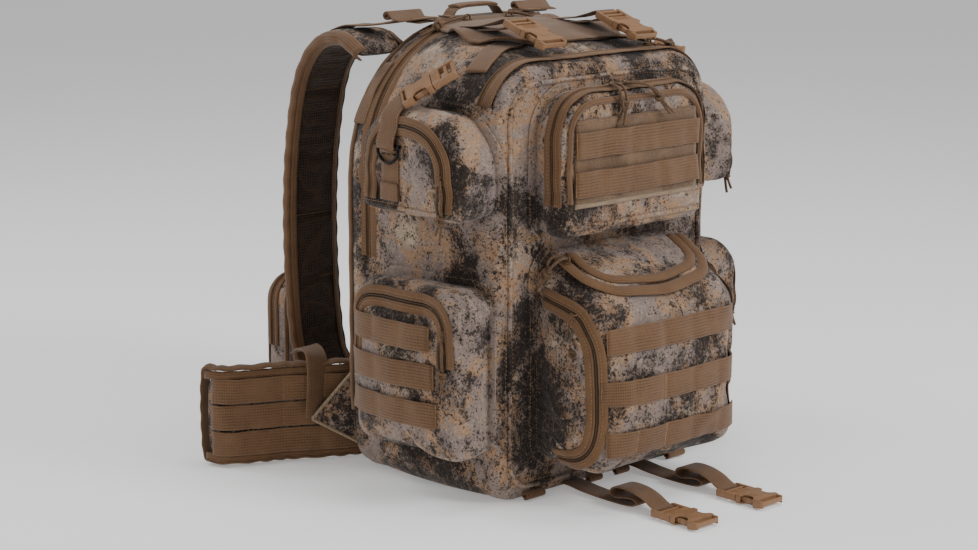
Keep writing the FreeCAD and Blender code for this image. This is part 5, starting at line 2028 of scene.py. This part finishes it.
@dataclass(frozen=True)
class BuckleSpec:
    """Where a side-release buckle stands and which half moves."""

    kind: str
    middle: Point
    along: Point
    out: Point
    moving: str

    def place(self, s: int) -> Matrix:
        """The buckle's own axes on one side of the pack: X across, Y to the female half, Z out."""
        middle = Vector((s * self.middle[0], *self.middle[1:]))
        y = Vector((s * self.along[0], *self.along[1:])).normalized()
        z = Vector((s * self.out[0], *self.out[1:]))
        z = (z - y * z.dot(y)).normalized()
        x = y.cross(z)
        turn = Matrix((x, y, z)).transposed().to_4x4()
        turn.translation = middle
        return turn


class Buckles(Assembly):
    """The six side-release buckles."""

    specs = (
        BuckleSpec("top", (0.065, -0.052, 0.456), (0, -0.94, -0.34), (0, -0.34, 0.94), "female"),
        BuckleSpec("low", (0.048, -0.246, 0.0008), (0, -1, 0), (0, 0, 1), "female"),
        BuckleSpec("side", (0.166, -0.022, 0.413), (0.6, 0.6, -0.53), (0.4, 0, 0.92), "male"),
    )

    def build(self) -> None:
        """Make every half; the fixed ones are one piece."""
        fixed = Shape()
        for spec in self.specs:
            for side, s in SIDES.items():
                place = spec.place(s)
                halves = {"female": self.female, "male": self.male}
                moving = Shape()
                halves[spec.moving](moving, place)
                other = "male" if spec.moving == "female" else "female"
                halves[other](fixed, place)
                name = f"{spec.kind}_buckle_{spec.moving}_{side}"
                self.finish(moving, name + "_moulding", "buckle_plastic", f"{spec.kind}_buckle_{side}",
                    (name,), 35)
        self.finish(fixed, "fixed_buckle_mouldings", "buckle_plastic", replaces=("buckle_fixed_halves",),
            sharp=35)

    @staticmethod
    def pair(shape: Shape, place: Matrix, low: float, high: float, bevel: float, *points: tuple[float,
            float]) -> None:
        """Two plates that mirror each other, from one's outline in millimetres."""
        for x in (-1, 1):
            side = mm(*((x * a, b) for a, b in points))
            shape.plate(side if x > 0 else side[::-1], low, high, bevel, place)

    def female(self, shape: Shape, place: Matrix) -> None:
        """The receptacle: two skins with windows at the sides, a collar and a bar for webbing."""
        skin = mirrored((16.2, 0), (17, 1), (17, 6.2), (11.5, 8.0), (10.2, 11), (10.2, 17), (12.5, 20.5),
            (17, 22.5), (17, 26), (15, 28.2))
        for low, high in ((0.0, 0.0016), (0.0074, 0.0090)):
            shape.plate(skin, low, high, 0.0005, place)
        self.pair(shape, place, 0.0006, 0.0084, 0.0004, (15.6, 0.3), (17, 0.3), (17, 6), (15.6, 6))
        self.pair(shape, place, 0.0008, 0.0082, 0.0010, (13.2, 22), (17, 22), (17, 31.5), (15.2, 34), (13.2,
            34))
        shape.plate(mirrored((13.6, 22.2), (13.6, 28.0)), 0.0004, 0.0086, 0.0007, place)
        shape.plate(mirrored((14.6, 31.4), (14.6, 34.0)), 0.0026, 0.0074, 0.0011, place)
        shape.plate(mirrored((7.4, 9), (6.2, 18)), 0.0088, 0.0093, 0.0002, place)

    def male(self, shape: Shape, place: Matrix) -> None:
        """The plug: two sprung arms, a guide, and a ladder that the webbing threads."""
        self.pair(shape, place, 0.0024, 0.0066, 0.0006, (10.4, -1.2), (14.4, -1.2), (13.4, 5), (13.6, 10.5),
            (15.1, 13), (15.1, 18), (13.2, 21), (10.8, 19.4), (11.2, 12), (10.8, 5))
        self.pair(shape, place, 0.0010, 0.0080, 0.0010, (13, -26.4), (15.8, -26.4), (17, -25), (17, -0.4),
            (13, -0.4))
        shape.plate(mirrored((2.6, -1), (2.2, 19), (1.4, 21)), 0.0028, 0.0062, 0.0006, place)
        shape.plate(mirrored((14, -9.6), (14, -0.4)), 0.0010, 0.0080, 0.0008, place)
        shape.plate(mirrored((14, -18.2), (14, -14.6)), 0.0020, 0.0070, 0.0010, place)
        shape.plate(mirrored((14.6, -26.2), (14.6, -22.6)), 0.0024, 0.0070, 0.0011, place)
        for k in range(3):
            y = -8.0 + 2.4 * k
            shape.plate(mirrored((9, y), (9, y + 1)), 0.0077, 0.0085, 0.0003, place)


HANG = ((4.3, 0, 6.2), (14, 1.4, 5.6), (26, -1, 5), (38, 0.9, 4.6), (49, -0.4, 4.4), (59, -3, 4.3))
OVER = ((2.1, 0, 6.6), (8.5, 0.6, 7.6), (15.5, 1, 4.6), (19.6, 0.6, -2), (20.6, -0.4, -11), (20.4, -1.6,
    -21), (20.8, -4, -31))
OVER_ASKEW = ((2.3, 0, 6.6), (8, 1.6, 8), (13.5, 9, 7), (18.8, 17, 1.5), (20.8, 25, -8), (20.4, 33, -17),
    (20.8, 42, -26))
CROWN = ((4.3, 0, 6.4), (15, 1.6, 5), (28, -1, 2.4), (41, 1, -1.6), (52, 0, -5.6), (62, -3, -10))
CORNER = ((4.3, 0, 6.6), (13, 1, 6), (22, -0.6, 3.4), (31, 0.8, -0.8), (39, -0.4, -6), (46, -2, -12))


@dataclass(frozen=True)
class Pull:
    """A zip slider and its pull cord: place, the zip's way, the way out and the cord's route."""

    name: str
    spot: Point
    way: Point
    out: Point
    cord_way: Point
    route: tuple[Point, ...]
    knot: float = 0.62

    def axes(self, along: Point) -> Matrix:
        """Axes at the slider with X along a way and Z out, in metres."""
        x = Vector(along).normalized()
        z = Vector(self.out)
        z = (z - x * z.dot(x)).normalized()
        turn = Matrix((x, z.cross(x), z)).transposed().to_4x4()
        turn.translation = Vector(self.spot)
        return turn


class Pulls(Assembly):
    """Every zip slider with its bail, cord, knot and tails."""

    slope_way = (0, 0.8862, 0.4633)
    slope_out = (0, -0.4633, 0.8862)

    def all(self) -> list[Pull]:
        """The eleven pulls."""
        made = [Pull("main_left", (-0.02983, 0.080, 0.4578), (-1, 0, 0), (0, 0, 1), (-1, 0, 0), CROWN),
            Pull("main_right", (0.02983, 0.080, 0.4578), (1, 0, 0), (0, 0, 1), (1, 0, 0), CROWN),
            Pull("front", (0.08837, -0.066, 0.4367), (1, 0, 0), (0, 0, 1), (1, 0, 0), CORNER),
            Pull("pocket_left", (-0.024, -0.123, 0.405), (1, 0, 0), (0, 0, 1), (0, -1, 0), OVER),
            Pull("pocket_right", (-0.004, -0.123, 0.405), (1, 0, 0), (0, 0, 1), (0, -1, 0), OVER_ASKEW),
            Pull("lid", (-0.087, -0.1234, 0.2416), self.slope_way, self.slope_out, (-1, 0, 0), OVER),
            Pull("pouch_side", (-0.100, -0.153, 0.198), (0, 1, 0), (-1, 0, 0), (0, 0, -1), HANG)]
        for side, s in SIDES.items():
            made.append(Pull(f"side_pouch_{side}", (s * 0.205, -0.080, 0.180), (0, 0, 1), (s, 0, 0), (0, 0,
                -1), HANG))
            made.append(Pull(f"side_pocket_{side}", (s * 0.200, -0.074, 0.330), (0, 0, 1), (s, 0, 0), (0, 0,
                -1), HANG))
        return made

    def build(self) -> None:
        """Make them all."""
        for i, pull in enumerate(self.all()):
            body = f"zip_{pull.name}"
            self.slider(pull, body)
            self.cord(pull, body, i)

    def slider(self, pull: Pull, body: str) -> None:
        """The slider: two shields, a neck and a bail."""
        place = pull.axes(pull.way)
        shape = Shape()
        shield = mm((-6, -2.6), (-3.5, -4.2), (2.5, -4.5), (6, -2.2), (6, 2.2), (2.5, 4.5), (-3.5, 4.2),
            (-6, 2.6))
        shape.plate(shield, 0.0006, 0.0019, 0.0004, place)
        shape.plate([(x * 0.92, y * 0.92) for x, y in shield], 0.0021, 0.0034, 0.0005, place)
        shape.plate(mm((1.5, -1.4), (4.6, -1.2), (4.6, 1.2), (1.5, 1.4)), 0.0015, 0.0024, 0.0003, place)
        arch = [(-4.0, 3.0), (-3.8, 5.6), (-2.6, 7.6), (-0.6, 8.3), (1.6, 8.0), (3.3, 6.6), (4.0, 4.8),
            (4.1, 3.0)]
        path = through([place @ Vector((x / 1000, 0, z / 1000)) for x, z in arch], 0.0012)
        shape.tube(path, 0.0009)
        self.finish(shape, f"slider_{pull.name}_metal", "slider_metal", body, (f"slider_{pull.name}",), 40)

    def cord(self, pull: Pull, body: str, seed: int) -> None:
        """The doubled cord: one leg is the cord, the rest are pieces along it."""
        place = pull.axes(pull.cord_way)
        points = [place @ Vector((x / 1000, y / 1000, z / 1000)) for x, y, z in pull.route]
        curve = bpy.data.curves.new(f"cord_{pull.name}_line", "CURVE")
        curve.dimensions = "3D"
        spline = curve.splines.new("NURBS")
        spline.points.add(len(points) - 1)
        for point, p in zip(spline.points, points):
            point.co = (*p, 1)
        spline.order_u = 3
        spline.use_endpoint_u = True
        curve.resolution_u = 10
        obj = bpy.data.objects.new(f"cord_{pull.name}_leg", curve)
        bpy.context.scene.collection.objects.link(obj)
        traced = baked(obj)
        line = evenly([v.co.copy() for v in traced.vertices], 0.0012)
        bpy.data.meshes.remove(traced)
        curve.bevel_depth = 0.0014
        curve.bevel_resolution = 3
        curve.use_fill_caps = True
        curve.materials.append(self.kit.wardrobe["pull_cord"])
        self.kit.ride_as(obj, "pull_cord", body, (f"cord_{pull.name}",))
        extra = self.finish(self.knot(pull, line, place, seed), f"cord_{pull.name}_knot", "pull_cord", body)

    def knot(self, pull: Pull, line: list[Vector], place: Matrix, seed: int) -> Shape:
        """The second leg, the turns of the knot and the second tail."""
        rnd = random.Random(40 + seed)
        out = (place.to_3x3() @ Vector((0, 0, 1))).normalized()
        plain = Course(line, out)
        n = len(line) - 1
        tie = pull.knot
        shape = Shape()
        leg = []
        start = place @ Vector((0, 0.0006, 0.0066))
        for i in range(n + 1):
            share = i / n
            if share <= tie:
                gap = 0.0028 + 0.0042 * swell(share / tie, 0.8)
            else:
                gap = 0.0028 + 0.0055 * ((share - tie) / (1 - tie))
            leg.append(plain.points[i] + plain.across[i] * gap + plain.facing[i] * 0.0006 * math.sin(share *
                9 + seed))
        first = Vector(line[0])
        bend = [first, first.lerp(start, 0.6) - out * 0.0002, start + plain.across[0] * 0.0012 -
            plain.ways[0] * 0.0012, leg[0].lerp(start, 0.4), leg[0]]
        shape.tube(through(bend, 0.0010), 0.0014)
        shape.tube(evenly(leg[:-3], 0.0014), 0.0014)
        k = round(tie * n)
        hub = (line[k] + leg[k]) / 2
        way = plain.ways[k]
        side, face = plain.across[k], plain.facing[k]
        turns = []
        for j in range(60):
            a = j / 59 * 2 * math.pi * 2.6 + rnd.uniform(-0.02, 0.02)
            slide = (j / 59 - 0.5) * 0.0072
            r = 0.0032 + 0.0005 * math.sin(a * 0.5)
            turns.append(hub + way * slide + side * math.cos(a) * r * 1.12 + face * math.sin(a) * r)
        shape.tube(turns, 0.0014)
        cross = [hub - way * 0.0052 + side * 0.0012, hub - way * 0.002 + face * 0.0048, hub + way * 0.002 +
            face * 0.0050 - side * 0.001, hub + way * 0.0056]
        shape.tube(through(cross, 0.001), 0.0014)
        return shape


# ---- stage


class Studio:
    """A pale floor, soft lights and the camera."""

    target = Vector((-0.039, 0.037, 0.198))
    eye = Vector((-1.573, -1.607, 0.676))

    def build(self) -> None:
        """Set the stage."""
        mesh = bpy.data.meshes.new("floor")
        mesh.from_pydata([(-9, -9, -0.0006), (9, -9, -0.0006), (9, 9, -0.0006), (-9, 9, -0.0006)], [], [(0,
            1, 2, 3)])
        floor = bpy.data.objects.new("floor", mesh)
        bpy.context.scene.collection.objects.link(floor)
        material = bpy.data.materials.new("paper")
        material.use_nodes = True
        paper = material.node_tree.nodes["Principled BSDF"]
        paper.inputs["Base Color"].default_value = (0.92, 0.92, 0.92, 1)
        paper.inputs["Emission Color"].default_value = (1, 1, 1, 1)
        paper.inputs["Emission Strength"].default_value = 0.24
        paper.inputs["Roughness"].default_value = 0.9
        mesh.materials.append(material)
        world = bpy.data.worlds.new("studio")
        world.use_nodes = True
        sky = world.node_tree.nodes["Background"]
        sky.inputs[0].default_value = (1.0, 1.0, 1.0, 1)
        sky.inputs[1].default_value = 0.36
        bpy.context.scene.world = world
        lights = (((0.9, -2.3, 1.7), 44, 1.0), ((-2.2, -0.4, 1.0), 7, 1.2), ((-1.0, 1.6, 1.7), 16, 1.0),
            ((0.2, -0.2, 2.5), 20, 1.2))
        for i, (spot, power, size) in enumerate(lights):
            lamp = bpy.data.lights.new(f"softbox_{i}", "AREA")
            lamp.energy = power
            lamp.size = size
            obj = bpy.data.objects.new(f"softbox_{i}", lamp)
            obj.location = spot
            obj.rotation_euler = (self.target - Vector(spot)).to_track_quat("-Z", "Y").to_euler()
            bpy.context.scene.collection.objects.link(obj)
        lens = bpy.data.cameras.new("camera")
        lens.lens = 80.98
        lens.sensor_width = 36
        camera = bpy.data.objects.new("camera", lens)
        camera.location = self.eye
        camera.rotation_euler = (self.target - self.eye).to_track_quat("-Z", "Y").to_euler()
        bpy.context.scene.collection.objects.link(camera)
        bpy.context.scene.camera = camera


def main() -> None:
    """Build the looks on the frame."""
    logging.basicConfig(level=logging.INFO, format="%(message)s")
    Studio().build()
    wardrobe = Wardrobe()
    kit = Kit(wardrobe, Rows(wardrobe), Inflation())
    PackBody(kit).build()
    UpperPocket(kit).build()
    LowerPouch(kit).build()
    for side in SIDES:
        SidePouch(kit, side).build()
        SidePocket(kit, side).build()
        ShoulderStrap(kit, side).build()
        BeltWing(kit, side).build()
    StrapPouch(kit).build()
    BackPanel(kit).build()
    Gussets(kit).build()
    TopHardware(kit).build()
    Handle(kit).build()
    Buckles(kit).build()
    Pulls(kit).build()
    kit.rows.make()


if __name__ == "__main__":
    main()
